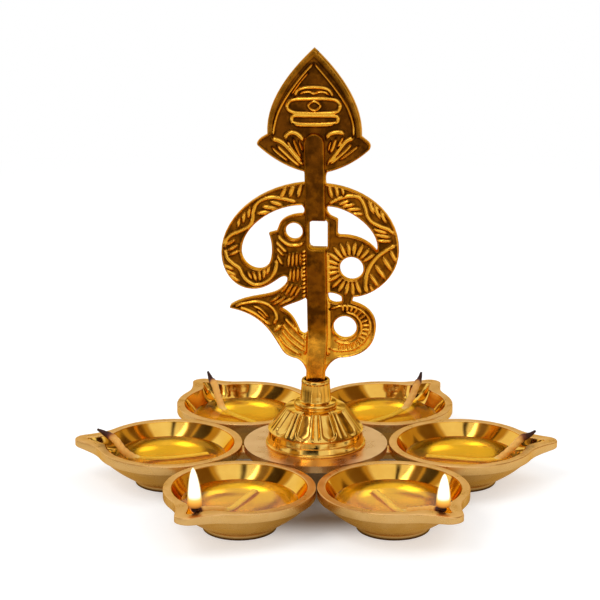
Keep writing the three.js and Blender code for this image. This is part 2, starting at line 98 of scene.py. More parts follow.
def endTree(tree, entry, geometry):
    # every tree ends in a smooth, real mesh with its finish on
    smooth = addNode(tree, "GeometryNodeSetShadeSmooth", {"Geometry": geometry})
    whole = addNode(tree, "GeometryNodeRealizeInstances", {"Geometry": smooth})
    finished = addNode(tree, "GeometryNodeSetMaterial", {"Geometry": whole, "Material": entry["Finish"]})
    addNode(tree, "NodeGroupOutput", (finished,))
    return tree


def runTree(thing, tree, values):
    # adds the tree with its named inputs set
    modifier = thing.modifiers.new(tree.name, "NODES")
    modifier.node_group = tree
    for item in tree.interface.items_tree:
        if item.in_out == "INPUT" and item.name in values:
            modifier[item.identifier] = values[item.name]
    return thing


def newMaterial(name):
    material = bpy.data.materials.new(name)
    material.use_nodes = True
    material.node_tree.nodes.clear()
    return material, material.node_tree


def link(name, data):
    thing = bpy.data.objects.new(name, data)
    scene.collection.objects.link(thing)
    return thing


def asMesh(thing, placed=Matrix.Identity(4)):
    # the finished shape as a plain mesh in the stand's own frame, in place of its curve or node tree
    name = thing.name
    seen = thing.evaluated_get(bpy.context.evaluated_depsgraph_get())
    mesh = bpy.data.meshes.new_from_object(seen)
    bpy.data.objects.remove(thing)
    mesh.name = name
    mesh.transform(placed)
    return link(name, mesh)


def joined(name, parts):
    with bpy.context.temp_override(active_object=parts[0], selected_editable_objects=parts):
        bpy.ops.object.join()
    parts[0].name = name
    parts[0].data.name = name
    return parts[0]


def ringMesh(name, rings, firstPole, lastPole, rowMaterials, materials):
    # a closed skin over rings of equally many points, with a fan at each end
    rings = np.asarray(rings)
    rows, size = rings.shape[:2]
    points = np.vstack([[firstPole], rings.reshape(-1, 3), [lastPole]])
    around = np.arange(size)
    after = (around + 1) % size
    last = len(points) - 1
    faces = [(0, 1 + b, 1 + a) for a, b in zip(around, after)]
    kinds = [rowMaterials[0]] * size
    for row in range(rows - 1):
        low = 1 + row * size
        high = low + size
        faces += [(low + a, low + b, high + b, high + a) for a, b in zip(around, after)]
        kinds += [rowMaterials[row]] * size
    faces += [(last, last - size + a, last - size + b) for a, b in zip(around, after)]
    kinds += [rowMaterials[-1]] * size
    mesh = bpy.data.meshes.new(name)
    mesh.from_pydata(points.tolist(), [], [tuple(int(i) for i in face) for face in faces])
    for material in materials:
        mesh.materials.append(material)
    mesh.polygons.foreach_set("material_index", np.array(kinds, dtype=np.int32))
    mesh.shade_smooth()
    return link(name, mesh)


def storeValues(mesh, fields):
    for name, values in fields.items():
        field = mesh.attributes.new(name, "FLOAT", "POINT")
        field.data.foreach_set("value", np.asarray(values, dtype=np.float32))


def storeLengths(thing, lengths, size):
    # how far each ring lies along the section, for patterns that follow the turning
    storeValues(thing.data, {"sectionLength": [lengths[0], *np.repeat(lengths, size), lengths[-1]]})


def rounded(corners, steps=5):
    # a section of (radius, height, round) corners, each rounded by an arc-like curve
    points = [np.array(corners[0][:2])]
    for before, corner, after in zip(corners, corners[1:], corners[2:]):
        here = np.array(corner[:2])
        towardsBefore = np.array(before[:2]) - here
        towardsAfter = np.array(after[:2]) - here
        a = here + towardsBefore / np.linalg.norm(towardsBefore) * corner[2]
        b = here + towardsAfter / np.linalg.norm(towardsAfter) * corner[2]
        for t in np.linspace(0, 1, steps + 1):
            points.append((1 - t) ** 2 * a + 2 * t * (1 - t) * here + t ** 2 * b)
    points.append(np.array(corners[-1][:2]))
    return np.array(points)


def sectionLengths(points):
    return np.concatenate([[0], np.cumsum(np.linalg.norm(np.diff(points, axis=0), axis=1))])


def samplePath(path, steps=14):
    # a start point, then for each stretch its handles and its end point
    points = [np.array(path[0], float)]
    for stretch in path[1:]:
        knots = [points[-1]] + [np.array(point, float) for point in stretch]
        for t in np.linspace(0, 1, steps + 1 if len(knots) > 2 else 2)[1:]:
            level = knots
            while len(level) > 1:
                level = [a + (b - a) * t for a, b in zip(level, level[1:])]
            points.append(level[0])
    return np.array(points) * mm


def circlePath(x, z, radius, steps=40):
    turn = np.linspace(0, 2 * math.pi, steps, endpoint=False)
    return np.stack([x + radius * np.cos(turn), z + radius * np.sin(turn)], 1) * mm


def isInside(points, starts, ends):
    inside = []
    for part in np.array_split(points, 40):
        x, z = part[:, :1], part[:, 1:]
        crossed = (starts[:, 1] > z) != (ends[:, 1] > z)
        rise = np.where(ends[:, 1] == starts[:, 1], 1, ends[:, 1] - starts[:, 1])
        at = starts[:, 0] + (z - starts[:, 1]) / rise * (ends[:, 0] - starts[:, 0])
        inside.append(np.sum(crossed & (at > x), axis=1) % 2 == 1)
    return np.concatenate(inside)


def cutSheet(outlines, morePoints=()):
    # triangles that fill the metal between outlines in millimetres, and the sides of its edge
    starts = np.vstack(outlines)
    ends = np.vstack([np.roll(line, -1, axis=0) for line in outlines])
    edges, first = [], 0
    for line in outlines:
        edges += [(first + i, first + (i + 1) % len(line)) for i in range(len(line))]
        first += len(line)
    points = np.vstack([starts, *morePoints])
    corners, _, faces, *_ = delaunay_2d_cdt([Vector(point) for point in points], edges, [], 0, 1e-5, False)
    corners = np.array(corners)
    faces = np.array(faces)
    faces = faces[isInside(corners[faces].mean(axis=1), starts, ends)]
    sides = np.concatenate([faces[:, [0, 1]], faces[:, [1, 2]], faces[:, [2, 0]]])
    known = {tuple(side) for side in sides.tolist()}
    rim = sorted(side for side in known if side[::-1] not in known)
    return corners, faces, rim


def sheetMesh(name, corners, faces, rim, front, back):
    # a front face towards -Y, a back face and the wall between them
    count = len(corners)
    points = [(x * mm, front, z * mm) for x, z in corners] + [(x * mm, back, z * mm) for x, z in corners]
    walls = [(b, a, a + count, b + count) for a, b in rim]
    mesh = bpy.data.meshes.new(name)
    mesh.from_pydata(points, [], faces.tolist() + (faces[:, ::-1] + count).tolist() + walls)
    return link(name, mesh)


def flatCasting(name, outlines, thickness, edge, segments, material):
    # a flat plate with bevelled edges from closed outlines, the first one outside and the rest its holes
    part = sheetMesh(name, *cutSheet(outlines), -thickness / 2, thickness / 2)
    part.data.materials.append(material)
    bevel = part.modifiers.new("edges", "BEVEL")
    bevel.width = edge
    bevel.segments = segments
    bevel.limit_method = "ANGLE"
    bevel.angle_limit = math.radians(60)
    return asMesh(part)


# Finishes. Every brass keeps the default IOR: its colour at the surface does the work.

# brass stays gold where it is seen edge on
goldEdge = colour("#FFE0A0")


def turnedRings(tree, spacing, strength):
    # fine rings left by the lathe, drawn coarse enough to show
    length = addNode(tree, "ShaderNodeAttribute", attribute_name="sectionLength").outputs["Fac"]
    scaled = addNode(tree, "ShaderNodeMath", (length, 1 / spacing), operation="MULTIPLY")
    noise = addNode(tree, "ShaderNodeTexNoise", {"W": scaled, "Scale": 1.0, "Detail": 2.0},
                    noise_dimensions="1D")
    return addNode(tree, "ShaderNodeBump", {"Height": noise, "Strength": strength, "Distance": 0.05 * mm})


def brass(name, light, dark, roughness, patchSize, ringSpacing=None, ringStrength=0.0, waviness=0.0,
          swellSize=11 * mm, coatOrPaintedShade=None):
    # cast or turned brass: a clean metal whose tone and gloss drift a little over the surface. Below a height
    # a cover can lie on it, a coat of oil inside the bowls and painted shade at their foot: where it starts
    # to thin out, where it ends, its colour and its roughness.
    material, tree = newMaterial(name)
    place = addNode(tree, "ShaderNodeTexCoord").outputs["Object"]
    patches = addNode(tree, "ShaderNodeTexNoise", {"Vector": place, "Scale": 1 / patchSize, "Detail": 3.0})
    base = addNode(tree, "ShaderNodeMix", {0: patches, 6: colour(dark), 7: colour(light)},
                   data_type="RGBA").outputs[2]
    gloss = addNode(tree, "ShaderNodeMapRange", (patches, 0.3, 0.7, roughness * 0.75, roughness * 1.25))
    # below a height: the oil's dulled coat inside the bowls, and painted contact shade at their foot
    if coatOrPaintedShade:
        full, none, code, coatRoughness = coatOrPaintedShade
        height = addNode(tree, "ShaderNodeSeparateXYZ", (place,)).outputs["Z"]
        cover = addNode(tree, "ShaderNodeMapRange", (height, full, none, 1.0, 0.0), **smoothly)
        base = addNode(tree, "ShaderNodeMix", {0: cover, 6: base, 7: colour(code)},
                       data_type="RGBA").outputs[2]
        if coatRoughness:
            gloss = addNode(tree, "ShaderNodeMix", {0: cover, 2: gloss, 3: coatRoughness})
    inputs = {"Base Color": base, "Metallic": 1.0, "Roughness": gloss, "Specular Tint": goldEdge}
    if ringSpacing:
        inputs["Normal"] = turnedRings(tree, ringSpacing, ringStrength)
    if waviness:
        swell = addNode(tree, "ShaderNodeTexNoise", {"Vector": place, "Scale": 1 / swellSize, "Detail": 1.0})
        settings = {"Height": swell, "Strength": 1.0, "Distance": waviness}
        if ringSpacing:
            settings["Normal"] = inputs["Normal"]
        inputs["Normal"] = addNode(tree, "ShaderNodeBump", settings)
    shader = addNode(tree, "ShaderNodeBsdfPrincipled", inputs)
    addNode(tree, "ShaderNodeOutputMaterial", (shader,))
    return material


# the oil's surface above the table
oilLevel = 12.2 * mm
# Polished on the lathe: a mirror, so white turns pale gold and a second bounce turns amber. Dulled and
# paler where the lamp oil lies on it.
polishedInside = brass("polished_turned_brass", "#FCD066", "#DC9C34", 0.09, 9 * mm, 0.5 * mm, 0.14, 0.2 * mm,
                       coatOrPaintedShade=(oilLevel - 1.2 * mm, oilLevel, "#EEC450", 0.2))
# Turned and left: fine rings across a satin wall, with painted contact shade in dark brown where it stands on
# the table
turnedOutside = brass("turned_satin_brass", "#F4D098", "#E0B674", 0.27, 6 * mm, 0.35 * mm, 0.55, 0.06 * mm,
                      coatOrPaintedShade=(1.6 * mm / 3, 1.6 * mm, "#5C3C1A", None))
# Filed flat: a pale matt rim that scatters the light
filedRim = brass("filed_matt_brass", "#F4CA8A", "#E0AC66", 0.34, 5 * mm)
# Rolled plate, matt and a little pinker than the bowls
rolledPlate = brass("rolled_matt_brass", "#F8D8AC", "#ECC698", 0.3, 8 * mm)
# Buffed bright: deep yellow with hard reflections
buffedBell = brass("buffed_cast_brass", "#FFDC78", "#CC841A", 0.1, 5 * mm, 0.6 * mm, 0.12, 0.4 * mm, 7 * mm)


antiqued = {
    "patchSize": 3 * mm, "grainSize": 0.5 * mm, "cloudSize": 6 * mm,
    # heights and amounts: a painted reflection that lights the plate low down, then the tone of the ground by
    # height
    "paintedLowReflection": (61 * mm, 76 * mm, 1.05, 0.0), "groundByHeight": (138 * mm, 158 * mm, 0.16, -0.02),
    "clouded": (0.4, 0.6, 0.55, 1.25), "ridgeLight": 1.15, "stainTone": "#3E2006",
    "tones": ((0, "#70400C"), (0.4, "#A0640F"), (0.75, "#DA9830"), (1, "#F6B640")),
}


def antiquedFinish():
    # stained casting brass: dark amber where the ground is sunk, darkest at the feet of the ridges, and
    # bright where a cloth rubbed it; brighter low down as a painted reflection of the table, and the ground
    # lighter below the finial
    material, tree = newMaterial("antiqued_cast_brass")
    place = addNode(tree, "ShaderNodeTexCoord").outputs["Object"]
    height = addNode(tree, "ShaderNodeSeparateXYZ", (place,)).outputs["Z"]
    relief, stain = [addNode(tree, "ShaderNodeAttribute", attribute_name=name).outputs["Fac"]
                     for name in ("relief", "stain")]
    patches, grain, clouds = [
        addNode(tree, "ShaderNodeTexNoise", {"Vector": place, "Scale": 1 / antiqued[size], "Detail": detail})
        for size, detail in (("patchSize", 3.0), ("grainSize", 2.0), ("cloudSize", 4.0))]
    # a painted reflection of the table: the plate lit brighter low down, fading out between 61 and 76 mm
    paintedLowReflection = addNode(tree, "ShaderNodeMapRange", (height, *antiqued["paintedLowReflection"]), **smoothly)
    # the ground a little lighter below 138 mm and a little darker above 158 mm
    groundByHeight = addNode(tree, "ShaderNodeMapRange", (height, *antiqued["groundByHeight"]), **smoothly)
    uneven = addNode(tree, "ShaderNodeMath", (patches, 0.5, -0.25), operation="MULTIPLY_ADD")
    ground = addNode(tree, "ShaderNodeMath", (uneven, groundByHeight), operation="ADD")
    sunk = addNode(tree, "ShaderNodeMath", (1.0, relief), operation="SUBTRACT")
    wearAndLowReflection = addNode(tree, "ShaderNodeMath", (relief, paintedLowReflection), operation="ADD")
    rubbedAndReflected = addNode(tree, "ShaderNodeMath", (ground, sunk, wearAndLowReflection), operation="MULTIPLY_ADD")
    tone = addNode(tree, "ShaderNodeValToRGB", (rubbedAndReflected,))
    setStops(tone, antiqued["tones"])
    neitherWornNorLit = addNode(tree, "ShaderNodeMath", (1.0, rubbedAndReflected), operation="SUBTRACT")
    stained = addNode(tree, "ShaderNodeMath", (stain, neitherWornNorLit), operation="MULTIPLY")
    stained = addNode(tree, "ShaderNodeMapRange", (stained, 0.15, 1.0, 0.0, 0.85))
    shade = addNode(tree, "ShaderNodeMix", {0: stained, 6: tone, 7: colour(antiqued["stainTone"])},
                    data_type="RGBA").outputs[2]
    clouds = addNode(tree, "ShaderNodeMapRange", (clouds, *antiqued["clouded"]))
    clouds = addNode(tree, "ShaderNodeMix", {0: relief, 2: clouds, 3: antiqued["ridgeLight"]})
    shade = addNode(tree, "ShaderNodeVectorMath", {0: shade, "Scale": clouds}, operation="SCALE")
    gloss = addNode(tree, "ShaderNodeMapRange", (rubbedAndReflected, 0.0, 1.0, 0.34, 0.18))
    bump = addNode(tree, "ShaderNodeBump", {"Height": grain, "Strength": 0.35, "Distance": 0.08 * mm})
    shader = addNode(tree, "ShaderNodeBsdfPrincipled", {
        "Base Color": shade, "Metallic": 1.0, "Roughness": gloss, "Normal": bump, "Specular Tint": goldEdge})
    addNode(tree, "ShaderNodeOutputMaterial", (shader,))
    return material


antiquedCasting = antiquedFinish()
# Small turned fasteners
screwBrass = brass("turned_screw_brass", "#DDB266", "#C89A50", 0.22, 2 * mm)
print("finishes made")


# Bowls

bowl = {
    "rimRadius": 32 * mm, "rimWidth": 3.5 * mm, "height": 18 * mm, "floorHeight": 4.4 * mm,
    "innerCurve": 0.27, "wallBulge": 1.2 * mm, "bandHeight": 4.2 * mm, "bandStep": 1 * mm,
    "footRadius": 15.6 * mm, "footHeight": 1.9 * mm, "footWall": 3.2 * mm, "footRecess": 1.1 * mm,
    "spoutReach": 10.7 * mm, "spoutTipHalfWidth": 4.1 * mm, "spoutSpread": 30, "lipThickness": 3 * mm,
    "channelReach": 8.6 * mm, "channelTipHalfWidth": 1 * mm, "channelSpread": 18, "channelRise": 0.35,
    "channelFloorShare": 0.9, "channelShare": 0.76, "channelStart": 0.42, "noseTaper": 2.6,
    "noseRoundness": 0.8, "underSpoutStart": 0.25, "underSpoutReach": 0.68, "underSpoutCurve": 3.4,
    "edge": 0.45 * mm, "insideTopShare": 0.968, "ringCentre": 64.4 * mm, "sharpAngle": 38,
}
bowl["innerRim"] = bowl["rimRadius"] - bowl["rimWidth"]
lampAngles = {"right": 0, "back_right": 60, "back_left": 120, "left": 180, "front_left": 240,
              "front_right": 300}
spoutTurns = {"right": 4, "back_right": -8, "back_left": 4, "left": -8, "front_left": -3, "front_right": 6}


def bowlAngles():
    # in degrees from the spout: close together across the spout and wider apart round the rest
    nose = np.linspace(-36, 36, 121)
    rest = np.linspace(36, 324, 134)[1:-1]
    return np.concatenate([nose, rest])


def noseReach(angles, circle, reach, tipHalfWidth, spread):
    # how far a round-tipped nose stands out of a circle at each angle from its middle
    off = np.abs((angles + 180) % 360 - 180)
    tipAngle = math.degrees(math.atan2(tipHalfWidth, circle + reach))
    share = np.clip(off / tipAngle, 0, 1)
    setBack = tipHalfWidth * (1 - np.sqrt(1 - (share * bowl["noseRoundness"]) ** 2))
    fall = np.clip((off - tipAngle) / (spread - tipAngle), 0, 1)
    return (reach - setBack) * (1 - fall) ** bowl["noseTaper"]


def smoothShare(value, low, high):
    t = np.clip((value - low) / (high - low), 0, 1)
    return t * t * (3 - 2 * t)


def placedRing(angles, turn, radii, heights):
    direction = np.radians(angles + turn)
    x, y, z = np.broadcast_arrays(radii * np.cos(direction), radii * np.sin(direction), heights)
    return np.stack([x, y, z], 1)


def innerHeight(radius):
    share = (radius / bowl["innerRim"]) ** (1 / bowl["innerCurve"])
    return bowl["floorHeight"] + (bowl["height"] - bowl["floorHeight"]) * share


def innerRing(angles, turn, radius, grow=0.0):
    # one ring of the inside, which runs out into the channel under the wick near the rim
    channel = noseReach(angles, bowl["innerRim"], bowl["channelReach"], bowl["channelTipHalfWidth"],
                        bowl["channelSpread"])
    share = (radius / bowl["innerRim"]) ** (1 / bowl["innerCurve"])
    height = innerHeight(radius)
    rise = bowl["channelRise"] * (bowl["height"] - innerHeight(
        bowl["innerRim"] * bowl["channelShare"] ** bowl["innerCurve"])) * channel / bowl["channelReach"]
    if share >= bowl["channelShare"]:
        upper = (share - bowl["channelShare"]) / (1 - bowl["channelShare"])
        reach = channel * (bowl["channelFloorShare"] + (1 - bowl["channelFloorShare"]) * upper)
        heights = height + rise * (1 - upper)
    else:
        run = smoothShare(share, bowl["channelStart"], bowl["channelShare"])
        reach = channel * bowl["channelFloorShare"] * run
        heights = height + rise * run
    return placedRing(angles, turn, radius + reach + grow, heights)


def bowlSkin(name, turn):
    angles = bowlAngles()
    spout = noseReach(angles, bowl["rimRadius"], bowl["spoutReach"], bowl["spoutTipHalfWidth"],
                      bowl["spoutSpread"])
    channel = noseReach(angles, bowl["innerRim"], bowl["channelReach"], bowl["channelTipHalfWidth"],
                        bowl["channelSpread"])
    lipBottom = bowl["height"] - bowl["lipThickness"]
    bandBottom = bowl["height"] - bowl["bandHeight"]
    wallTop = bowl["rimRadius"] - bowl["bandStep"]
    edge = bowl["edge"]
    rings, section, kinds = [], [], []

    def add(radius, height, reach, kind, lift=None):
        heights = height if lift is None else height + (lipBottom - height) * lift
        rings.append(placedRing(angles, turn, radius + reach, heights))
        section.append((radius, height))
        kinds.append(kind)

    foot = rounded([
        (bowl["footRadius"] - bowl["footWall"] - 4 * mm, bowl["footRecess"], 0),
        (bowl["footRadius"] - bowl["footWall"], bowl["footRecess"], 0.4 * mm),
        (bowl["footRadius"] - bowl["footWall"], 0, 0.4 * mm),
        (bowl["footRadius"], 0, 0.4 * mm),
        (bowl["footRadius"], bowl["footHeight"], 0.3 * mm),
        (bowl["footRadius"] + 0.8 * mm, bowl["footHeight"] + 0.5 * mm, 0),
    ])
    for radius, height in foot:
        add(radius, height, 0, 0)
    for share in np.linspace(0.06, 1, 26):
        radius = bowl["footRadius"] + share * (wallTop - bowl["footRadius"])
        radius += bowl["wallBulge"] * math.sin(math.pi * share)
        height = bowl["footHeight"] + share * (bandBottom - bowl["footHeight"])
        underSpout = max(share - bowl["underSpoutStart"], 0) / (1 - bowl["underSpoutStart"])
        spoutShare = bowl["underSpoutReach"] * underSpout ** bowl["underSpoutCurve"]
        add(radius, height, spout * spoutShare, 0, np.minimum(spout * spoutShare / bowl["spoutReach"], 1))
    lift = spout / bowl["spoutReach"]
    for turnShare in np.linspace(0, 1, 5):
        inset = edge * (1 - math.sin(turnShare * math.pi / 2))
        rise = edge * (1 - math.cos(turnShare * math.pi / 2))
        rings.append(placedRing(angles, turn, bowl["rimRadius"] - inset + spout,
                                bandBottom + rise + (lipBottom - bandBottom) * lift))
        section.append((bowl["rimRadius"] - inset, bandBottom + rise))
        kinds.append(0)
    for turnShare in np.linspace(0, 1, 6):
        inset = edge * (1 - math.cos(turnShare * math.pi / 2))
        drop = edge * (1 - math.sin(turnShare * math.pi / 2))
        add(bowl["rimRadius"] - inset, bowl["height"] - drop, spout, 1)
    for turnShare in np.linspace(0, 1, 6):
        inset = edge * (1 - math.sin(turnShare * math.pi / 2))
        drop = edge * (1 - math.cos(turnShare * math.pi / 2))
        add(bowl["innerRim"] + inset, bowl["height"] - drop, channel, 1 if turnShare < 0.5 else 2)
    topRadius = bowl["innerRim"] * bowl["insideTopShare"] ** bowl["innerCurve"]
    for radius in topRadius * np.linspace(1, 0.02, 46):
        rings.append(innerRing(angles, turn, radius))
        section.append((radius, innerHeight(radius)))
        kinds.append(2)
    skin = ringMesh(name, rings, (0, 0, bowl["footRecess"]), (0, 0, bowl["floorHeight"]), kinds,
                    [turnedOutside, filedRim, polishedInside])
    storeLengths(skin, sectionLengths(np.array(section)), len(angles))
    return skin


ear = {"halfWidth": 4.5 * mm, "start": -28.8 * mm, "end": -38.1 * mm, "hole": 1.8 * mm,
       "bottom": 11.6 * mm, "thickness": 3.4 * mm, "edge": 0.3 * mm}


def bowlEar(name):
    # the flat ear under the disc, drawn lying down and then raised to its place
    halfTurn = np.linspace(math.pi / 2, 1.5 * math.pi, 25)
    end = np.stack([ear["end"] + ear["halfWidth"] * np.cos(halfTurn), ear["halfWidth"] * np.sin(halfTurn)], 1)
    outline = np.vstack([[(ear["start"], ear["halfWidth"])], end, [(ear["start"], -ear["halfWidth"])]])
    hole = circlePath(ear["end"] / mm, 0, ear["hole"] / mm, 24)
    part = flatCasting(name, [outline / mm, hole / mm], ear["thickness"], ear["edge"], 2, turnedOutside)
    part.data.transform(Matrix.Translation((0, 0, ear["bottom"] + ear["thickness"] / 2))
                        @ Matrix.Rotation(-math.pi / 2, 4, "X"))
    return part


def bowlPlace(lamp):
    turn = Matrix.Rotation(math.radians(lampAngles[lamp]), 4, "Z")
    return turn @ Matrix.Translation((bowl["ringCentre"], 0, 0))


for lamp in lampAngles:
    node = f"bowl_{lamp}"
    cast = joined(f"cast_{node}", [bowlSkin(f"skin_{node}", spoutTurns[lamp]), bowlEar(f"ear_{node}")])
    cast.data.transform(bowlPlace(lamp))
    cast.data.set_sharp_from_angle(angle=math.radians(bowl["sharpAngle"]))
    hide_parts(node)
    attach(cast, "stand")
print("bowls made")


# Oil

oilFit = {"tone": "#FCE27C", "shadowTone": "#FBECB4", "intoWall": 0.12 * mm, "intoFloor": 0.06 * mm,
          "sharpAngle": 30}


def lampOilFinish():
    # warm lamp oil: clear, amber where it is deep, and a mirror at a low angle
    material, tree = newMaterial("amber_lamp_oil")
    shader = addNode(tree, "ShaderNodeBsdfPrincipled", {
        "Base Color": colour(oilFit["tone"]), "Roughness": 0.02, "IOR": 1.47, "Transmission Weight": 1.0})
    clear = addNode(tree, "ShaderNodeBsdfTransparent", (colour(oilFit["shadowTone"]),))
    shadow = addNode(tree, "ShaderNodeLightPath").outputs["Is Shadow Ray"]
    mixed = addNode(tree, "ShaderNodeMixShader", (shadow, shader, clear))
    addNode(tree, "ShaderNodeOutputMaterial", (mixed,))
    return material


lampOil = lampOilFinish()


def oilFill(name, turn):
    # it fills the bowl to its level and reaches a hair into the wall, so no air shows between them
    angles = bowlAngles()
    share = (oilLevel - bowl["floorHeight"]) / (bowl["height"] - bowl["floorHeight"])
    surfaceRadius = bowl["innerRim"] * share ** bowl["innerCurve"]
    rings = []
    for radius in surfaceRadius * np.linspace(0.03, 1, 30):
        ring = innerRing(angles, turn, radius, oilFit["intoWall"])
        ring[:, 2] = np.minimum(ring[:, 2] - oilFit["intoFloor"], oilLevel)
        rings.append(ring)
    rim = rings[-1].copy()
    rim[:, 2] = oilLevel
    rings.append(rim)
    for share in (0.75, 0.5, 0.25):
        inner = rim.copy()
        inner[:, :2] *= share
        rings.append(inner)
    return ringMesh(name, rings, (0, 0, bowl["floorHeight"] - oilFit["intoFloor"]), (0, 0, oilLevel),
                    [0] * len(rings), [lampOil])


for lamp in lampAngles:
    oil = oilFill(f"oil_{lamp}", spoutTurns[lamp])
    oil.data.transform(bowlPlace(lamp))
    oil.data.set_sharp_from_angle(angle=math.radians(oilFit["sharpAngle"]))
    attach(oil, "stand")
print("oil poured")


# Bell

bell = {
    "bottom": 18 * mm, "flangeRadius": 22 * mm, "flangeHeight": 1.1 * mm, "drumRadius": 21.2 * mm,
    "drumHeight": 6.2 * mm, "drumTaper": 0.85 * mm, "coneFootRadius": 21 * mm, "coneFootHeight": 7 * mm,
    "shoulderRadius": 13.3 * mm, "shoulderHeight": 16.8 * mm, "collarRadius": 9.2 * mm,
    "collarHeight": 19.6 * mm, "neckRadius": 6.8 * mm, "neckLipRadius": 6.2 * mm, "height": 29.5 * mm,
    "socketRadius": 5.1 * mm, "socketFloor": 36.8 * mm, "flutes": 10, "panelDepth": 1.1 * mm,
    "panelHalfWidth": 0.26, "panelEdge": (0.03, 0.02), "panelFoot": (0.05, 0.3),
    "grooveDepth": 0.7 * mm, "groovePlace": 0.385, "grooveHalfWidth": 0.055, "grooveFoot": (0.04, 0.12),
    "reliefFade": (0.93, 1.0, 1.0, 0.45), "around": 480, "sharpAngle": 50,
}


def bellSections():
    base = bell["bottom"]
    low = rounded([
        (2 * mm, base, 0),
        (bell["flangeRadius"], base, 0.4 * mm),
        (bell["flangeRadius"], base + bell["flangeHeight"], 0.5 * mm),
        (bell["drumRadius"] + 0.05 * mm, base + bell["flangeHeight"] + 0.05 * mm, 0.1 * mm),
        (bell["drumRadius"] - bell["drumTaper"] * 0.56, base + bell["flangeHeight"] + 2.4 * mm, 0.15 * mm),
        (bell["drumRadius"] - bell["drumTaper"] * 0.36, base + bell["flangeHeight"] + 2.6 * mm, 0.15 * mm),
        (bell["drumRadius"] - bell["drumTaper"], base + bell["drumHeight"], 0.3 * mm),
        (bell["coneFootRadius"], base + bell["coneFootHeight"], 0),
    ])
    shares = np.linspace(0, 1, 44)
    cone = np.stack([
        bell["coneFootRadius"] + shares * (bell["shoulderRadius"] - bell["coneFootRadius"]),
        base + bell["coneFootHeight"] + shares * (bell["shoulderHeight"] - bell["coneFootHeight"])], 1)
    high = rounded([
        (bell["shoulderRadius"] - 0.2 * mm, base + bell["shoulderHeight"] + 0.15 * mm, 0),
        (bell["collarRadius"], base + bell["shoulderHeight"] + 0.5 * mm, 0.4 * mm),
        (bell["collarRadius"] + 0.5 * mm, base + bell["shoulderHeight"] + 1.7 * mm, 0.8 * mm),
        (bell["collarRadius"], base + bell["collarHeight"], 0.6 * mm),
        (bell["neckRadius"], base + bell["collarHeight"] + 0.2 * mm, 0.5 * mm),
        (bell["neckLipRadius"], base + bell["height"] - 1.7 * mm, 0.3 * mm),
        (bell["neckLipRadius"] + 0.15 * mm, base + bell["height"] - 1.3 * mm, 0.3 * mm),
        (bell["neckLipRadius"] - 0.1 * mm, base + bell["height"], 0.5 * mm),
        (bell["socketRadius"], base + bell["height"], 0.3 * mm),
        (bell["socketRadius"], bell["socketFloor"], 0.3 * mm),
        (1 * mm, bell["socketFloor"], 0),
    ])
    onCone = np.concatenate([np.full(len(low) - 1, -1.0), shares, np.full(len(high), -1.0)])
    return np.vstack([low[:-1], cone, high]), onCone


def fluteTree():
    # sinks panels with round lower ends and pairs of narrow grooves into the skin of the cone
    tree, entry = newTree("flutes", (
        "Flutes", "Panel Depth", "Panel Half Width", "Groove Depth", "Groove Place", "Groove Half Width"))
    turn, cone = [addNode(tree, "GeometryNodeInputNamedAttribute", {"Name": name})
                  for name in ("turnShare", "coneShare")]
    place = addNode(tree, "ShaderNodeMath", (turn, entry["Flutes"]), operation="MULTIPLY")
    place = addNode(tree, "ShaderNodeMath", (place,), operation="FRACT")
    fromPanel = addNode(tree, "ShaderNodeMath", (place, 0.5), operation="SUBTRACT")
    fromPanel = addNode(tree, "ShaderNodeMath", (fromPanel,), operation="ABSOLUTE")
    # the lower end of a panel is a half circle
    lowEnd = addNode(tree, "ShaderNodeMapRange", (cone, *bell["panelFoot"], 1.0, 0.0))
    narrowing = addNode(tree, "ShaderNodeMath", (lowEnd, lowEnd), operation="MULTIPLY")
    narrowing = addNode(tree, "ShaderNodeMath", (1.0, narrowing), operation="SUBTRACT")
    narrowing = addNode(tree, "ShaderNodeMath", (narrowing,), operation="SQRT")
    half = addNode(tree, "ShaderNodeMath", (entry["Panel Half Width"], narrowing), operation="MULTIPLY")
    inner = addNode(tree, "ShaderNodeMath", (half, bell["panelEdge"][0]), operation="SUBTRACT")
    outer = addNode(tree, "ShaderNodeMath", (half, bell["panelEdge"][1]), operation="ADD")
    panel = addNode(tree, "ShaderNodeMapRange", (fromPanel, inner, outer, 1.0, 0.0), **smoothly)
    panel = addNode(tree, "ShaderNodeMath", (panel, entry["Panel Depth"]), operation="MULTIPLY")
    fromGroove = addNode(tree, "ShaderNodeMath", (fromPanel, entry["Groove Place"]), operation="SUBTRACT")
    fromGroove = addNode(tree, "ShaderNodeMath", (fromGroove,), operation="ABSOLUTE")
    groove = addNode(tree, "ShaderNodeMapRange", (fromGroove, 0.0, entry["Groove Half Width"], 1.0, 0.0),
                     **smoothly)
    started = addNode(tree, "ShaderNodeMapRange", (cone, *bell["grooveFoot"], 0.0, 1.0), **smoothly)
    groove = addNode(tree, "ShaderNodeMath", (groove, started), operation="MULTIPLY")
    groove = addNode(tree, "ShaderNodeMath", (groove, entry["Groove Depth"]), operation="MULTIPLY")
    # shallower at the top, and nothing off the cone
    depth = addNode(tree, "ShaderNodeMath", (panel, groove), operation="ADD")
    topShare = addNode(tree, "ShaderNodeMapRange", (cone, *bell["reliefFade"]), **smoothly)
    depth = addNode(tree, "ShaderNodeMath", (depth, topShare), operation="MULTIPLY")
    onCone = addNode(tree, "ShaderNodeMath", (cone, -0.5), operation="GREATER_THAN")
    depth = addNode(tree, "ShaderNodeMath", (depth, onCone), operation="MULTIPLY")
    inwards = addNode(tree, "ShaderNodeMath", (depth, -1.0), operation="MULTIPLY")
    here = addNode(tree, "GeometryNodeInputPosition")
    flat = addNode(tree, "ShaderNodeVectorMath", (here, (1.0, 1.0, 0.0)), operation="MULTIPLY")
    outward = addNode(tree, "ShaderNodeVectorMath", (flat,), operation="NORMALIZE")
    shift = addNode(tree, "ShaderNodeVectorMath", {0: outward, "Scale": inwards}, operation="SCALE")
    moved = addNode(tree, "GeometryNodeSetPosition", {"Geometry": entry["Geometry"], "Offset": shift})
    return endTree(tree, entry, moved)


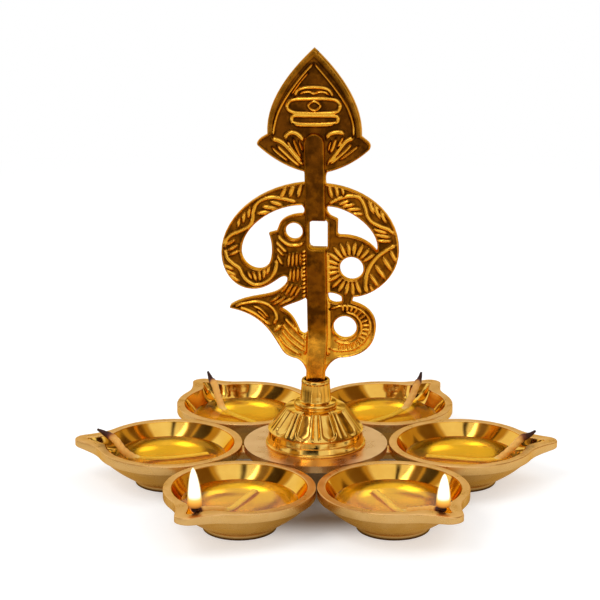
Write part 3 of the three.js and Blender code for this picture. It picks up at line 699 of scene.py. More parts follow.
def bellBody():
    section, coneShare = bellSections()
    size = bell["around"]
    turn = (np.arange(size) + 0.5) / size
    direction = 2 * math.pi * turn - math.pi / 2
    rings = [np.stack([radius * np.cos(direction), radius * np.sin(direction), np.full(size, height)], 1)
             for radius, height in section]
    body = ringMesh("bell_casting", rings, (0, 0, bell["bottom"]), (0, 0, bell["socketFloor"]),
                    [0] * len(rings), [buffedBell])
    storeLengths(body, sectionLengths(section), size)
    turns, cones = np.tile(turn, len(rings)), np.repeat(coneShare, size)
    storeValues(body.data, {"turnShare": [turns[0], *turns, turns[-1]],
                            "coneShare": [cones[0], *cones, cones[-1]]})
    runTree(body, fluteTree(), {
        "Flutes": float(bell["flutes"]), "Panel Depth": bell["panelDepth"],
        "Panel Half Width": bell["panelHalfWidth"], "Groove Depth": bell["grooveDepth"],
        "Groove Place": bell["groovePlace"], "Groove Half Width": bell["grooveHalfWidth"],
        "Finish": buffedBell})
    return asMesh(body)


bellCasting = bellBody()
bellCasting.data.set_sharp_from_angle(angle=math.radians(bell["sharpAngle"]))
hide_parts("base_bell")
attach(bellCasting, "stand")
print("bell made")


# Emblem, in its own frame: x to the right and heights above the tang's foot. Outlines, ridges, leaves
# and the values that aren't written times mm are in millimetres.

emblem = {
    "groundHalf": 1.7, "rimHeight": 0.6, "edgeRound": 1, "rimWidth": 0.45, "rimFall": 0.5, "rimShine": 0.7,
    "ridgeHeight": 0.85, "ridgeFatter": 1.32, "ridgeTip": 0.35, "ridgeTipRun": 2.2, "wireStep": 0.12,
    "bandHeight": 0.6, "leafLonger": 1.12, "leafFatter": 1.3, "leafEnd": 0.08, "leafRoundness": 0.35,
    "crownShine": (0.55, 1.1), "stainReach": 0.8, "spacing": 0.4, "sharpAngle": 48,
    "spineHalfWidth": 4.35, "spineLowMiddle": 1.0, "spineHighMiddle": -0.7, "spineStart": 30.7,
    "spineTop": 120.4, "tangHalfWidth": 4.1, "tangTop": 12.7,
    "spineThickness": 8 * mm, "spineEdge": 1.3 * mm, "spineRimHeight": 0.12 * mm, "spineRimShine": 0.5,
    "spineRimWidth": 0.4 * mm, "spineRimFall": 0.5 * mm, "spineStain": 0.01 * mm, "spineTarnish": 0.14,
    "tangThickness": 4.8 * mm, "taperStart": 10.7 * mm, "taperEnd": 30.7 * mm, "yaw": 6, "foot": 36.8 * mm,
}
outerOutline = [
    (3.5, 12),
    [(5.6, 19.4), (10.7, 21)],
    [(19.5, 21.4), (26, 25.7), (26.2, 34.7)],
    [(26.3, 40.7), (22.5, 44.7), (15.8, 46.2)],
    [(16.4, 48.6)],
    [(24.6, 48.9), (35.7, 57.6), (35.8, 68.8)],
    [(36, 87.7), (19, 97.2), (4.4, 98.2)],
    [(3.7, 101.4), (5, 103.5)],
    [(11.5, 105), (18.5, 109.2), (22.9, 113.6)],
    [(24, 115.6), (21.5, 117.4)],
    [(19.5, 119)],
    [(20, 134), (8.5, 148), (-0.9, 156.6)],
    [(-10.5, 147.5), (-21.8, 134), (-20.8, 119.4)],
    [(-23.4, 117.8)],
    [(-26.2, 115.8), (-24.8, 114.3)],
    [(-19.5, 109.4), (-12, 105), (-5.2, 103.6)],
    [(-4.2, 101.4), (-5, 98.7)],
    [(-25.4, 96.4), (-41, 82.2), (-41, 67)],
    [(-41, 58.8), (-36, 51.2), (-27.6, 51)],
    [(-23, 51), (-20, 53), (-15.6, 56.3)],
    [(-13.2, 57.8), (-12.4, 56.4)],
    [(-12, 53.5), (-16.2, 50.6)],
    [(-21, 47.4), (-30, 48.2), (-37, 43.6)],
    [(-38.4, 42), (-36.4, 41.9)],
    [(-22, 39), (-19, 30.2), (-14.4, 23.3)],
    [(-12.6, 20.8), (-8.3, 20.1)],
    [(-4.4, 18.4), (-3.5, 12)],
]
leftCrescent = [
    (-6, 88.8),
    [(-4, 86.8), (-5.8, 84.9)],
    [(-10, 84.8), (-15.4, 83), (-16.1, 79.2)],
    [(-17, 77)],
    [(-20.3, 76)],
    [(-18.4, 71), (-18.6, 65.2), (-20.6, 61.9)],
    [(-24, 57.6), (-31.8, 60.6), (-32.4, 67.4)],
    [(-32.4, 77.5), (-20, 88.4), (-6, 88.8)],
]
rightCrescent = [
    (5.2, 88.5),
    [(14.5, 88.6), (28.4, 78.4), (26.4, 69.2)],
    [(23, 73.8), (17, 76.2), (10.6, 75.9)],
    [(9.4, 76), (9.4, 77.2)],
    [(9.5, 82.8)],
    [(6.5, 84.2)],
    [(4, 86.4), (5.2, 88.5)],
]
forkGap = [
    (-4.4, 47.6),
    [(-3.2, 46.4), (-3.3, 44)],
    [(-3.3, 33)],
    [(-4.6, 29.6), (-7, 32.4)],
    [(-9.5, 39), (-12, 41), (-15.1, 42.4)],
    [(-12, 44.8), (-8, 45.2), (-4.4, 47.6)],
]
linkGap = [
    (5.5, 50.2),
    [(9, 50.4), (11.2, 48.7)],
    [(11.5, 46.3)],
    [(8.6, 44.8), (6, 46.6)],
    [(5, 48.4), (5.5, 50.2)],
]
window = {"left": -2.9, "right": 5.1, "bottom": 69.9, "top": 82.3, "corner": 1.6,
          "behindSpine": 0.15}


def roundedWindow():
    # cut a hair larger where the spine frames it
    right, corner, behind = window["right"], window["corner"], window["behindSpine"]
    left, bottom, top = window["left"] - behind, window["bottom"] - behind, window["top"] + behind
    return [
        (left + corner, bottom),
        [(right - corner, bottom)], [(right, bottom), (right, bottom + corner)],
        [(right, top - corner)], [(right, top), (right - corner, top)],
        [(left + corner, top)], [(left, top), (left, top - corner)],
        [(left, bottom + corner)], [(left, bottom), (left + corner, bottom)],
    ]


eyeHole = (-9.4, 77.2, 3.7)
swirlHole = (15.5, 61.3, 5.1)
ringHole = (12.8, 34.8, 5.05)


def emblemOutlines():
    paths = (outerOutline, leftCrescent, rightCrescent, forkGap, linkGap, roundedWindow())
    outlines = [samplePath(path) for path in paths]
    outlines = [line[:-1] if np.allclose(line[0], line[-1]) else line for line in outlines]
    return outlines + [circlePath(*hole) for hole in (eyeHole, swirlHole, ringHole)]


def insetLine(line, distance):
    # the outline moved into the metal: inwards from the outside, outwards from a hole
    ahead = np.roll(line, -1, axis=0)
    along = ahead - np.roll(line, 1, axis=0)
    along /= np.linalg.norm(along, axis=1)[:, None]
    left = np.stack([-along[:, 1], along[:, 0]], 1)
    return line + left * distance


def evenLine(line, spacing, clockwise):
    # points evenly spaced round a closed outline, turned so that the metal lies to its left
    area = np.sum(line[:, 0] * np.roll(line[:, 1], -1) - np.roll(line[:, 0], -1) * line[:, 1])
    if (area < 0) != clockwise:
        line = line[::-1]
    closed = np.vstack([line, line[:1]])
    run = sectionLengths(closed)
    places = np.linspace(0, run[-1], round(run[-1] / spacing), endpoint=False)
    return np.stack([np.interp(places, run, closed[:, k]) for k in (0, 1)], 1)


def rowsInside(starts, ends, spacing):
    # a grid of staggered rows, kept where each row runs through metal
    points = []
    for row, z in enumerate(np.arange(starts[:, 1].min(), starts[:, 1].max(), spacing * 0.866)):
        crossed = (starts[:, 1] > z) != (ends[:, 1] > z)
        low, high = starts[crossed], ends[crossed]
        x = np.sort(low[:, 0] + (z - low[:, 1]) / (high[:, 1] - low[:, 1]) * (high[:, 0] - low[:, 0]))
        for left, right in zip(x[::2], x[1::2]):
            grid = (np.arange(math.ceil(left / spacing), math.floor(right / spacing)) + row % 2 / 2) * spacing
            points += [(x, z) for x in grid]
    return np.array(points)


def nearTree(points):
    # measures how far other points are from these
    tree = KDTree(len(points))
    for i, (x, z) in enumerate(points):
        tree.insert((x, z, 0), i)
    tree.balance()
    return lambda others: np.array([tree.find((x, z, 0))[2] for x, z in others])


def oneInEachCell(points, size):
    cells = np.round(points / size).astype(int)
    first = np.unique(cells, axis=0, return_index=True)[1]
    return points[np.sort(first)]


# mesh rows that follow the outline, and how far apart its other points stay, all in millimetres
rimRows = (0.1, 0.25, 0.45)
sheetGaps = {"lineCell": 0.2, "lineToRim": 0.12, "gridToRim": 0.2, "gridToLine": 0.248}


def denseSheet(name, outlines, alongLines=None):
    # a dense flat sheet with both faces and its edge, all at y = 0 until the relief raises the faces
    spacing = emblem["spacing"]
    outlines = [evenLine(line / mm, spacing, i > 0) for i, line in enumerate(outlines)]
    starts = np.vstack(outlines)
    ends = np.vstack([np.roll(line, -1, axis=0) for line in outlines])
    rim = nearTree(starts)
    rings = []
    for inset in rimRows:
        ring = np.vstack([insetLine(line, inset) for line in outlines])
        rings.append(ring[(rim(ring) > inset * 0.85) & isInside(ring, starts, ends)])
    grid = rowsInside(starts, ends, spacing)
    grid = grid[rim(grid) > rimRows[-1] + sheetGaps["gridToRim"]]
    if alongLines is not None:
        rows = oneInEachCell(alongLines, sheetGaps["lineCell"])
        rows = rows[isInside(rows, starts, ends)]
        rows = rows[rim(rows) > rimRows[-1] + sheetGaps["lineToRim"]]
        grid = grid[nearTree(rows)(grid) > sheetGaps["gridToLine"]]
        rings.append(rows)
    corners, faces, rim = cutSheet(outlines, [*rings, grid])
    sheet = sheetMesh(name, corners, faces, rim, 0, 0)
    storeValues(sheet.data, {"facing": np.repeat([-1.0, 1.0], len(corners))})
    return sheet


# Raised lines: half width, whether closed, and the points they pass
ridges = {
    "finial line, left": (0.5, False, [
        (-18.3, 118.8), (-17.6, 123.5), (-16, 129), (-13.2, 134.6), (-9.7, 139.8), (-5.6, 145.2),
        (-1.2, 150.2)]),
    "finial line, right": (0.5, False, [
        (-0.8, 150.2), (3.6, 145.2), (8.2, 139.5), (12.2, 133.8), (14.6, 128.4), (15.9, 123.4), (16, 119)]),
    "finial inner line": (0.35, False, [(-3, 146.4), (-7, 141.5), (-10.6, 136.4)]),
    "top bar outer": (0.62, False, [
        (-9, 135.9), (-8, 138.4), (-5, 139.7), (-1, 140), (3.5, 139.7), (6, 138.5), (7.2, 136)]),
    "top bar inner": (0.5, False, [
        (-7.2, 136.6), (-5.5, 137.7), (-2.7, 138), (-1, 137.3), (1.4, 138), (4.2, 137.8), (6, 136.4)]),
    "middle bar": (0.68, True, [
        (-12.3, 131.7), (-11.4, 133.7), (-9, 134.7), (-3.6, 135), (2, 135.2), (7, 135), (9.5, 134),
        (10.3, 132.2), (9.5, 130.3), (7.4, 129.3), (2, 128.9), (-3.6, 128.8), (-8.7, 129), (-11.2, 129.9)]),
    "stone ring": (0.5, True, [(1.9, 132.1), (-0.7, 134), (-3.3, 132.1), (-0.7, 130.1)]),
    "low bar": (0.7, True, [
        (-10.3, 126.4), (-9.4, 127.7), (-4.5, 127.8), (2.8, 127.9), (8.6, 127.8), (9.4, 126.2), (8, 124.9),
        (3.8, 124.4), (-2.2, 124.1), (-7.3, 124.2), (-9.8, 124.9)]),
    "low bar, lower edge": (0.75, False, [
        (-9.6, 124.6), (-7.3, 123.9), (-2.2, 123.8), (3.8, 124), (8, 124.6)]),
    "left petal cap": (0.8, False, [
        (-12.8, 117.2), (-12.6, 119.2), (-10.5, 120.4), (-8.2, 120), (-6.4, 118.5), (-5, 116.8)]),
    "left petal vein 1": (0.5, False, [(-12.2, 117), (-10.2, 113.4), (-5.7, 108)]),
    "left petal vein 2": (0.5, False, [(-9.8, 118), (-8.2, 113.9), (-6.1, 109.8)]),
    "left petal vein 3": (0.5, False, [(-7.4, 117), (-6.4, 114.8), (-5.5, 112.2)]),
    "right petal cap": (0.8, False, [(4.6, 117.8), (5.6, 119.9), (8.4, 120.8), (10.9, 120.8), (12, 119.5)]),
    "right petal vein 1": (0.5, False, [(11.8, 119.4), (10.5, 116.6), (9.1, 114.2)]),
    "right petal vein 2": (0.6, False, [(8.6, 118.4), (7.5, 114.7), (6.1, 111.8)]),
    "right petal vein 3": (0.45, False, [(6.5, 117.5), (5.7, 114.6), (5.4, 112.3)]),
    "left leaf top": (0.85, False, [
        (-19, 117.4), (-16.1, 116.9), (-13.3, 115.3), (-10.5, 112.4), (-7.8, 109.2), (-5, 106.4)]),
    "left leaf vein 1": (0.5, False, [(-18.9, 114.1), (-16.1, 111.3), (-11.7, 107.9)]),
    "left leaf vein 2": (0.6, False, [(-16.6, 114.6), (-13.8, 112.1), (-10.1, 108.6), (-6.6, 105.8)]),
    "right leaf top": (0.85, False, [
        (16.4, 118.8), (13, 117.2), (10.9, 115), (8.9, 111.9), (6.6, 109), (5, 106.8)]),
    "right leaf vein 1": (0.6, False, [(15.3, 116.2), (13, 113.4), (9.4, 110), (6, 107)]),
    "right leaf vein 2": (0.5, False, [(18.2, 115.3), (14.4, 112), (10.2, 108.9)]),
    "left arch vine": (0.75, False, [
        (-8, 90.2), (-13.5, 91.4), (-18.3, 92), (-22.5, 91.2), (-25.6, 88.9), (-26.9, 85.5),
        (-27.4, 81.5), (-29.2, 78.9), (-32.6, 76.9), (-36.7, 75), (-38.8, 72.5), (-39.4, 69)]),
    "left loop vine": (0.75, False, [
        (-39.4, 69), (-38.4, 65), (-35.9, 62.2), (-33.1, 60.2), (-31.7, 57.3), (-29.5, 54.6),
        (-26.1, 53), (-22.1, 54.2), (-18.9, 57), (-17.2, 60.8), (-17, 65)]),
    "right arch vine": (0.75, False, [
        (5.4, 89.6), (8.8, 91.6), (13, 93.1), (17.2, 93.3), (19.6, 92), (21.1, 88.9), (22.1, 85.2),
        (24.2, 82.2), (27.8, 80.3), (31.5, 79), (33.8, 76.8)]),
    "swirl blade": (0.85, False, [
        (34.6, 72.4), (30.6, 70), (26.4, 66.7), (23.5, 62.6), (22, 58.2), (21.7, 53.8), (22.4, 50.6)]),
    "collar 1": (0.7, False, [(-16.4, 76), (-14.6, 73.3), (-11.4, 71.2), (-7.6, 71.2), (-5, 72.6)]),
    "collar 2": (0.65, False, [(-17.4, 72.7), (-15.3, 70.6), (-12.3, 67.6)]),
    "collar 3": (0.6, False, [(-17.2, 69.8), (-15.8, 68.4), (-13.6, 66)]),
    "collar 4": (0.6, False, [(-17, 66.8), (-15.6, 64.6), (-14.3, 62)]),
    "ring line": (0.55, False, [
        (6.5, 43), (10.2, 44.4), (15, 44.6), (19.3, 43.2), (22.6, 40.2), (23.8, 36), (22.6, 31.2),
        (19.6, 27.4), (15.6, 25), (10.3, 24.4), (6.6, 25)]),
    "ring collar": (0.55, False, [
        (12.8, 42), (17.1, 40.6), (19.7, 37.2), (19.7, 32.5), (17.1, 29), (12.8, 27.7), (8.5, 28.8)]),
    "leaf top": (0.65, False, [
        (-35.4, 42.9), (-32, 44.4), (-25.8, 45.4), (-20.9, 44.3), (-17.9, 41.7), (-17, 38.2), (-18.4, 35.4)]),
    "leaf low": (0.6, False, [(-33.5, 42.6), (-30.2, 41.8), (-25.9, 39.7), (-22.4, 37.2), (-19.6, 35)]),
    "leaf vein 1": (0.5, False, [(-27.6, 43.6), (-23.6, 41.9), (-20.3, 38.3)]),
    "leaf vein 2": (0.45, False, [(-25.8, 41.7), (-23.4, 39.8), (-21.1, 37.5)]),
    "leaf tie": (0.9, False, [(-18.2, 32.4), (-16.8, 33.7), (-14.9, 34.9)]),
    "leg 1": (0.62, False, [(-13.6, 38.5), (-8.7, 33.4), (-4.4, 28.7)]),
    "leg 2": (0.62, False, [(-14.5, 36), (-10.3, 30.8), (-4.6, 26)]),
    "leg 3": (0.62, False, [(-14.9, 33.2), (-10.7, 28.2), (-4.8, 23.7)]),
    "leg 4": (0.6, False, [(-16.4, 31), (-12.8, 26.2), (-6.4, 21.9)]),
    "spine flash, left": (0.65, False, [(-4.6, 22), (-4.4, 30), (-4.3, 38), (-4.4, 46)]),
    "spine flash, right": (0.9, False, [(5.5, 22), (5.6, 34), (5.5, 46), (5.3, 58), (5, 68.8)]),
}
finialBand = {"halfWidth": 1.3, "inset": 1.35, "paths": (
    [(19.4, 119.8), [(19.6, 134), (8.5, 148), (-0.9, 156.4)]],
    [(-0.9, 156.4), [(-10.5, 147.5), (-21.4, 134), (-20.6, 120.2)]])}

# Short raised leaves: x, z, lean in degrees from the level, length, half width
leaves = [
    (-14, 94.1, 66, 4, 0.85), (-10.4, 95, 72, 4.4, 0.9), (-6.9, 95.3, 76, 4.8, 0.9),
    (-17, 89.4, -16, 4.4, 0.85), (-20, 87.5, -6, 4.8, 0.9), (-22.6, 85.2, 8, 4.6, 0.85),
    (-28.8, 85, 82, 3.8, 0.7), (-31.1, 82.8, 84, 3.8, 0.7), (-33.3, 80.6, 80, 3.4, 0.65),
    (-37, 71.6, 30, 3.8, 0.7), (-36, 69.3, 28, 4.2, 0.75), (-35.4, 67, 24, 4, 0.7),
    (-38, 60.6, -24, 3.8, 0.75), (-37.2, 58.2, -26, 4.4, 0.8), (-35.4, 55.8, -32, 4.2, 0.75),
    (-28.6, 57.2, -62, 3, 0.65), (-26.5, 56.9, -72, 3.6, 0.7), (-24.4, 57.2, -84, 3.8, 0.7),
    (-22.4, 58.2, -96, 3.8, 0.7), (-20.6, 59.8, -106, 3.6, 0.65),
    (6.3, 95, 104, 4.4, 0.85), (9, 95.5, 100, 4.2, 0.8), (11.6, 95.4, 98, 3, 0.65),
    (12, 90.4, 20, 4, 0.75), (14, 89.2, 12, 4.6, 0.8), (16.2, 87.6, 4, 4.8, 0.8), (18, 85.7, -4, 3.8, 0.7),
    (23.8, 88.7, -68, 4.8, 0.85), (26.4, 86.7, -66, 5, 0.85), (29, 84.4, -64, 4.4, 0.75),
    (27.8, 78.2, -15, 5, 0.75), (29, 76.1, -8, 5.2, 0.8), (29.6, 74, 0, 4.8, 0.75),
    (33.5, 67.4, -64, 4.8, 0.85), (31, 63.8, -58, 5.6, 0.95), (28, 60.2, -54, 5.8, 0.95),
    (25.4, 56.4, -56, 5.2, 0.85), (24.4, 52.6, -66, 3.4, 0.7),
    (-11.6, 64.4, 84, 5, 0.6), (-9.9, 64.6, 86, 5.4, 0.6), (-8.2, 64.8, 88, 5.4, 0.6),
    (-6.5, 65, 90, 5, 0.6), (-11, 57.6, 84, 4.8, 0.6), (-9.4, 57.9, 86, 5.2, 0.6),
    (-7.7, 58.3, 88, 5.2, 0.6), (-6, 58.7, 90, 4.8, 0.55), (-13.4, 52, 58, 4.4, 0.65),
    (-11.6, 51.3, 60, 5, 0.65), (-9.6, 50.9, 62, 5, 0.65), (-7.7, 50.5, 64, 4.6, 0.65),
    (-17.8, 46.9, 32, 4, 0.65), (-16, 46, 32, 5.4, 0.7), (-13.4, 45.8, 32, 5.4, 0.7),
    (-11, 46.8, 34, 4.6, 0.6),
]
swirlLeaves = {"centre": swirlHole[:2], "radius": 8.8, "first": 34, "last": 290, "count": 17, "length": 5,
               "width": 0.82}
ringLeaves = {"centre": ringHole[:2], "radius": 9.1, "first": 96, "last": -104, "count": 17, "length": 2.9,
              "width": 0.55}
spineBeads = {"x": -5, "bottom": 48.8, "top": 68.4, "count": 12, "lean": 18, "length": 1.5, "width": 0.65}


def leafRows():
    rows = list(leaves)
    for fan in (swirlLeaves, ringLeaves):
        x, z = fan["centre"]
        for angle in np.linspace(fan["first"], fan["last"], fan["count"]):
            turn = math.radians(angle)
            rows.append((x + fan["radius"] * math.cos(turn), z + fan["radius"] * math.sin(turn), angle,
                         fan["length"], fan["width"]))
    for z in np.linspace(spineBeads["bottom"], spineBeads["top"], spineBeads["count"]):
        rows.append((spineBeads["x"], z, spineBeads["lean"], spineBeads["length"], spineBeads["width"]))
    return np.array(rows)


def leafScatter():
    # one point for each raised leaf, with its lean, length and half width
    rows = leafRows()
    mesh = bpy.data.meshes.new("emblem_leaves")
    mesh.from_pydata([(x * mm, 0, z * mm) for x, z in rows[:, :2]], [], [])
    storeValues(mesh, {"lean": np.radians(rows[:, 2]), "leafLength": rows[:, 3] * emblem["leafLonger"] * mm,
                       "leafWidth": rows[:, 4] * emblem["leafFatter"] * mm})
    return link("emblem_leaves", mesh)


def smoothLine(knots, closed, steps=12):
    # a smooth curve through given points
    knots = [np.array(knot, float) for knot in knots]
    if closed:
        padded = [knots[-1]] + knots + knots[:2]
    else:
        padded = [2 * knots[0] - knots[1]] + knots + [2 * knots[-1] - knots[-2]]
    points = []
    for before, a, b, after in zip(padded, padded[1:], padded[2:], padded[3:]):
        for t in np.linspace(0, 1, steps, endpoint=False):
            points.append(0.5 * (2 * a + (b - before) * t + (2 * before - 5 * a + 4 * b - after) * t ** 2
                                 + (3 * a - before - 3 * b + after) * t ** 3))
    return np.array(points + [knots[0] if closed else knots[-1]])


def evenOpen(line, spacing):
    run = sectionLengths(line)
    places = np.linspace(0, run[-1], max(3, round(run[-1] / spacing) + 1))
    return np.stack([np.interp(places, run, line[:, k]) for k in (0, 1)], 1), places


def raisedLines():
    # every ridge as points, half width, height and whether its ends are drawn thin
    lines = [(smoothLine(knots, closed), halfWidth * emblem["ridgeFatter"], emblem["ridgeHeight"], not closed)
             for halfWidth, closed, knots in ridges.values()]
    for path in finialBand["paths"]:
        band = insetOpen(samplePath(path) / mm, finialBand["inset"])
        lines.append((band, finialBand["halfWidth"], emblem["bandHeight"], False))
    return lines


def insetOpen(line, distance):
    along = np.gradient(line, axis=0)
    along /= np.linalg.norm(along, axis=1)[:, None]
    return line + np.stack([-along[:, 1], along[:, 0]], 1) * distance


def ridgeWires():
    # the ridges as strings of close points that carry their half width and height
    points, edges, widths, rises = [], [], [], []
    for line, halfWidth, rise, tapered in raisedLines():
        even, places = evenOpen(line, emblem["wireStep"])
        toEnd = np.minimum(places, places[-1] - places)
        taper = np.ones(len(even))
        if tapered:
            taper = np.clip(emblem["ridgeTip"] + toEnd / emblem["ridgeTipRun"], 0, 1)
        edges += [(len(points) + i, len(points) + i + 1) for i in range(len(even) - 1)]
        points += [(x * mm, 0, z * mm) for x, z in even]
        widths += list(halfWidth * mm * taper)
        rises += list(rise * mm * np.sqrt(taper))
    mesh = bpy.data.meshes.new("emblem_ridges")
    mesh.from_pydata(points, edges, [])
    storeValues(mesh, {"halfWidth": widths, "rise": rises})
    return link("emblem_ridges", mesh)


def rowsAlongLines():
    # mesh points on the crest, the shoulders and the feet of every raised form
    forms = [(line, halfWidth) for line, halfWidth, rise, tapered in raisedLines()]
    for x, z, lean, length, halfWidth in leafRows() * [1, 1, 1, emblem["leafLonger"], emblem["leafFatter"]]:
        reach = np.array([math.cos(math.radians(lean)), math.sin(math.radians(lean))]) * length / 2
        forms.append((np.array([(x, z) - reach, (x, z) + reach]), halfWidth))
    rows = []
    for share in (0, -0.5, 0.5, -0.95, 0.95, -1.2, 1.2):
        for line, halfWidth in forms:
            rows.append(insetOpen(evenOpen(line, emblem["spacing"])[0], share * halfWidth))
    return np.vstack(rows)


def outlineCurves(name, outlines):
    curve = bpy.data.curves.new(name, "CURVE")
    curve.dimensions = "3D"
    for outline in outlines:
        spline = curve.splines.new("POLY")
        spline.points.add(len(outline) - 1)
        for point, (x, z) in zip(spline.points, outline):
            point.co = (x, 0, z, 1)
        spline.use_cyclic_u = True
    return link(name, curve)


def reliefTree():
    # raises both faces of a flat sheet: a rim along its outline, ridges along curves and leaves on points
    tree, entry = newTree("cast_relief", (
        "Ground Half", "Rim Height", "Rim Shine", "Edge Round", "Rim Width", "Rim Fall", "Leaf Height",
        "Stain Reach"), ("Ridges", "Leaves", "Outline"))
    ridgeLines, leafPoints, outline = [
        addNode(tree, "GeometryNodeObjectInfo", {"Object": entry[name]}).outputs["Geometry"]
        for name in ("Ridges", "Leaves", "Outline")]
    lean, leafLength, leafWidth, ownWidth, ownRise, facing = [
        addNode(tree, "GeometryNodeInputNamedAttribute", {"Name": name})
        for name in ("lean", "leafLength", "leafWidth", "halfWidth", "rise", "facing")]
    leafHeight, reach = entry["Leaf Height"], entry["Stain Reach"]

    # each leaf is a short line with its own width and height
    stroke = addNode(tree, "GeometryNodeCurvePrimitiveLine", {"Start": (-0.5, 0, 0), "End": (0.5, 0, 0)})
    stroke = addNode(tree, "GeometryNodeResampleCurve", {"Curve": stroke, "Count": 9})
    turned = addNode(tree, "ShaderNodeMath", (lean, -1.0), operation="MULTIPLY")
    turned = addNode(tree, "ShaderNodeCombineXYZ", {"Y": turned})
    turned = addNode(tree, "FunctionNodeEulerToRotation", (turned,))
    scale = addNode(tree, "ShaderNodeCombineXYZ", (leafLength, 1.0, 1.0))
    leafLines = addNode(tree, "GeometryNodeInstanceOnPoints", {
        "Points": leafPoints, "Instance": stroke, "Rotation": turned, "Scale": scale})
    leafLines = addNode(tree, "GeometryNodeRealizeInstances", {"Geometry": leafLines})
    along = addNode(tree, "GeometryNodeSplineParameter")
    belly = addNode(tree, "ShaderNodeMath", (along, 1 - 2 * emblem["leafEnd"]), operation="MULTIPLY")
    belly = addNode(tree, "ShaderNodeMath", (belly, emblem["leafEnd"]), operation="ADD")
    belly = addNode(tree, "ShaderNodeMath", (belly, math.pi), operation="MULTIPLY")
    belly = addNode(tree, "ShaderNodeMath", (belly,), operation="SINE")
    belly = addNode(tree, "ShaderNodeMath", (belly, emblem["leafRoundness"]), operation="POWER")
    width = addNode(tree, "ShaderNodeMath", (belly, leafWidth), operation="MULTIPLY")
    rise = addNode(tree, "ShaderNodeMath", (belly,), operation="SQRT")
    rise = addNode(tree, "ShaderNodeMath", (rise, leafHeight), operation="MULTIPLY")
    for name, value in (("halfWidth", width), ("rise", rise)):
        leafLines = addNode(tree, "GeometryNodeStoreNamedAttribute", {
            "Geometry": leafLines, "Name": name, "Value": value}, data_type="FLOAT", domain="POINT")
    leafLines = addNode(tree, "GeometryNodeResampleCurve", {
        "Curve": leafLines, "Length": emblem["wireStep"] * mm}, mode="LENGTH")
    leafLines = addNode(tree, "GeometryNodeCurveToMesh", {"Curve": leafLines})
    lines = addNode(tree, "GeometryNodeJoinGeometry")
    tree.links.new(ridgeLines, lines.inputs[0])
    tree.links.new(leafLines.outputs[0], lines.inputs[0])

    # the cross-section of the nearest line
    here = addNode(tree, "GeometryNodeInputPosition")
    nearest = addNode(tree, "GeometryNodeSampleNearest", {"Geometry": lines}, domain="POINT")
    linePlace, halfWidth, rise = [
        addNode(tree, "GeometryNodeSampleIndex", {"Geometry": lines, "Value": value, "Index": nearest},
                data_type=kind, domain="POINT")
        for value, kind in ((here, "FLOAT_VECTOR"), (ownWidth, "FLOAT"), (ownRise, "FLOAT"))]
    apart = addNode(tree, "ShaderNodeVectorMath", (here, linePlace), operation="DISTANCE").outputs["Value"]
    share = addNode(tree, "ShaderNodeMath", (apart, halfWidth), operation="DIVIDE")
    ridge = addNode(tree, "ShaderNodeMath", (share, 2.0), operation="POWER")
    ridge = addNode(tree, "ShaderNodeMath", (ridge, 1.0), operation="MINIMUM")
    ridge = addNode(tree, "ShaderNodeMath", (1.0, ridge), operation="SUBTRACT")
    ridge = addNode(tree, "ShaderNodeMath", (ridge, rise), operation="MULTIPLY")

    # the rim along the outline, and the round of the edge
    edgeLine = addNode(tree, "GeometryNodeCurveToMesh", {"Curve": outline})
    toEdge = addNode(tree, "GeometryNodeProximity", (edgeLine,), target_element="EDGES").outputs["Distance"]
    rimWidth, edgeRound = entry["Rim Width"], entry["Edge Round"]
    rimEnd = addNode(tree, "ShaderNodeMath", (rimWidth, entry["Rim Fall"]), operation="ADD")
    rimShare = addNode(tree, "ShaderNodeMapRange", (toEdge, rimWidth, rimEnd, 1.0, 0.0), **smoothly)
    rim = addNode(tree, "ShaderNodeMath", (rimShare, entry["Rim Height"]), operation="MULTIPLY")
    short = addNode(tree, "ShaderNodeMath", (edgeRound, toEdge), operation="SUBTRACT")
    short = addNode(tree, "ShaderNodeMath", (short, 0.0), operation="MAXIMUM")
    short = addNode(tree, "ShaderNodeMath", (short, short), operation="MULTIPLY")
    arc = addNode(tree, "ShaderNodeMath", (edgeRound, edgeRound), operation="MULTIPLY")
    arc = addNode(tree, "ShaderNodeMath", (arc, short), operation="SUBTRACT")
    arc = addNode(tree, "ShaderNodeMath", (arc,), operation="SQRT")
    arc = addNode(tree, "ShaderNodeMath", (arc, edgeRound), operation="SUBTRACT")
    height = addNode(tree, "ShaderNodeMath", (rim, ridge), operation="MAXIMUM")
    height = addNode(tree, "ShaderNodeMath", (height, arc), operation="ADD")

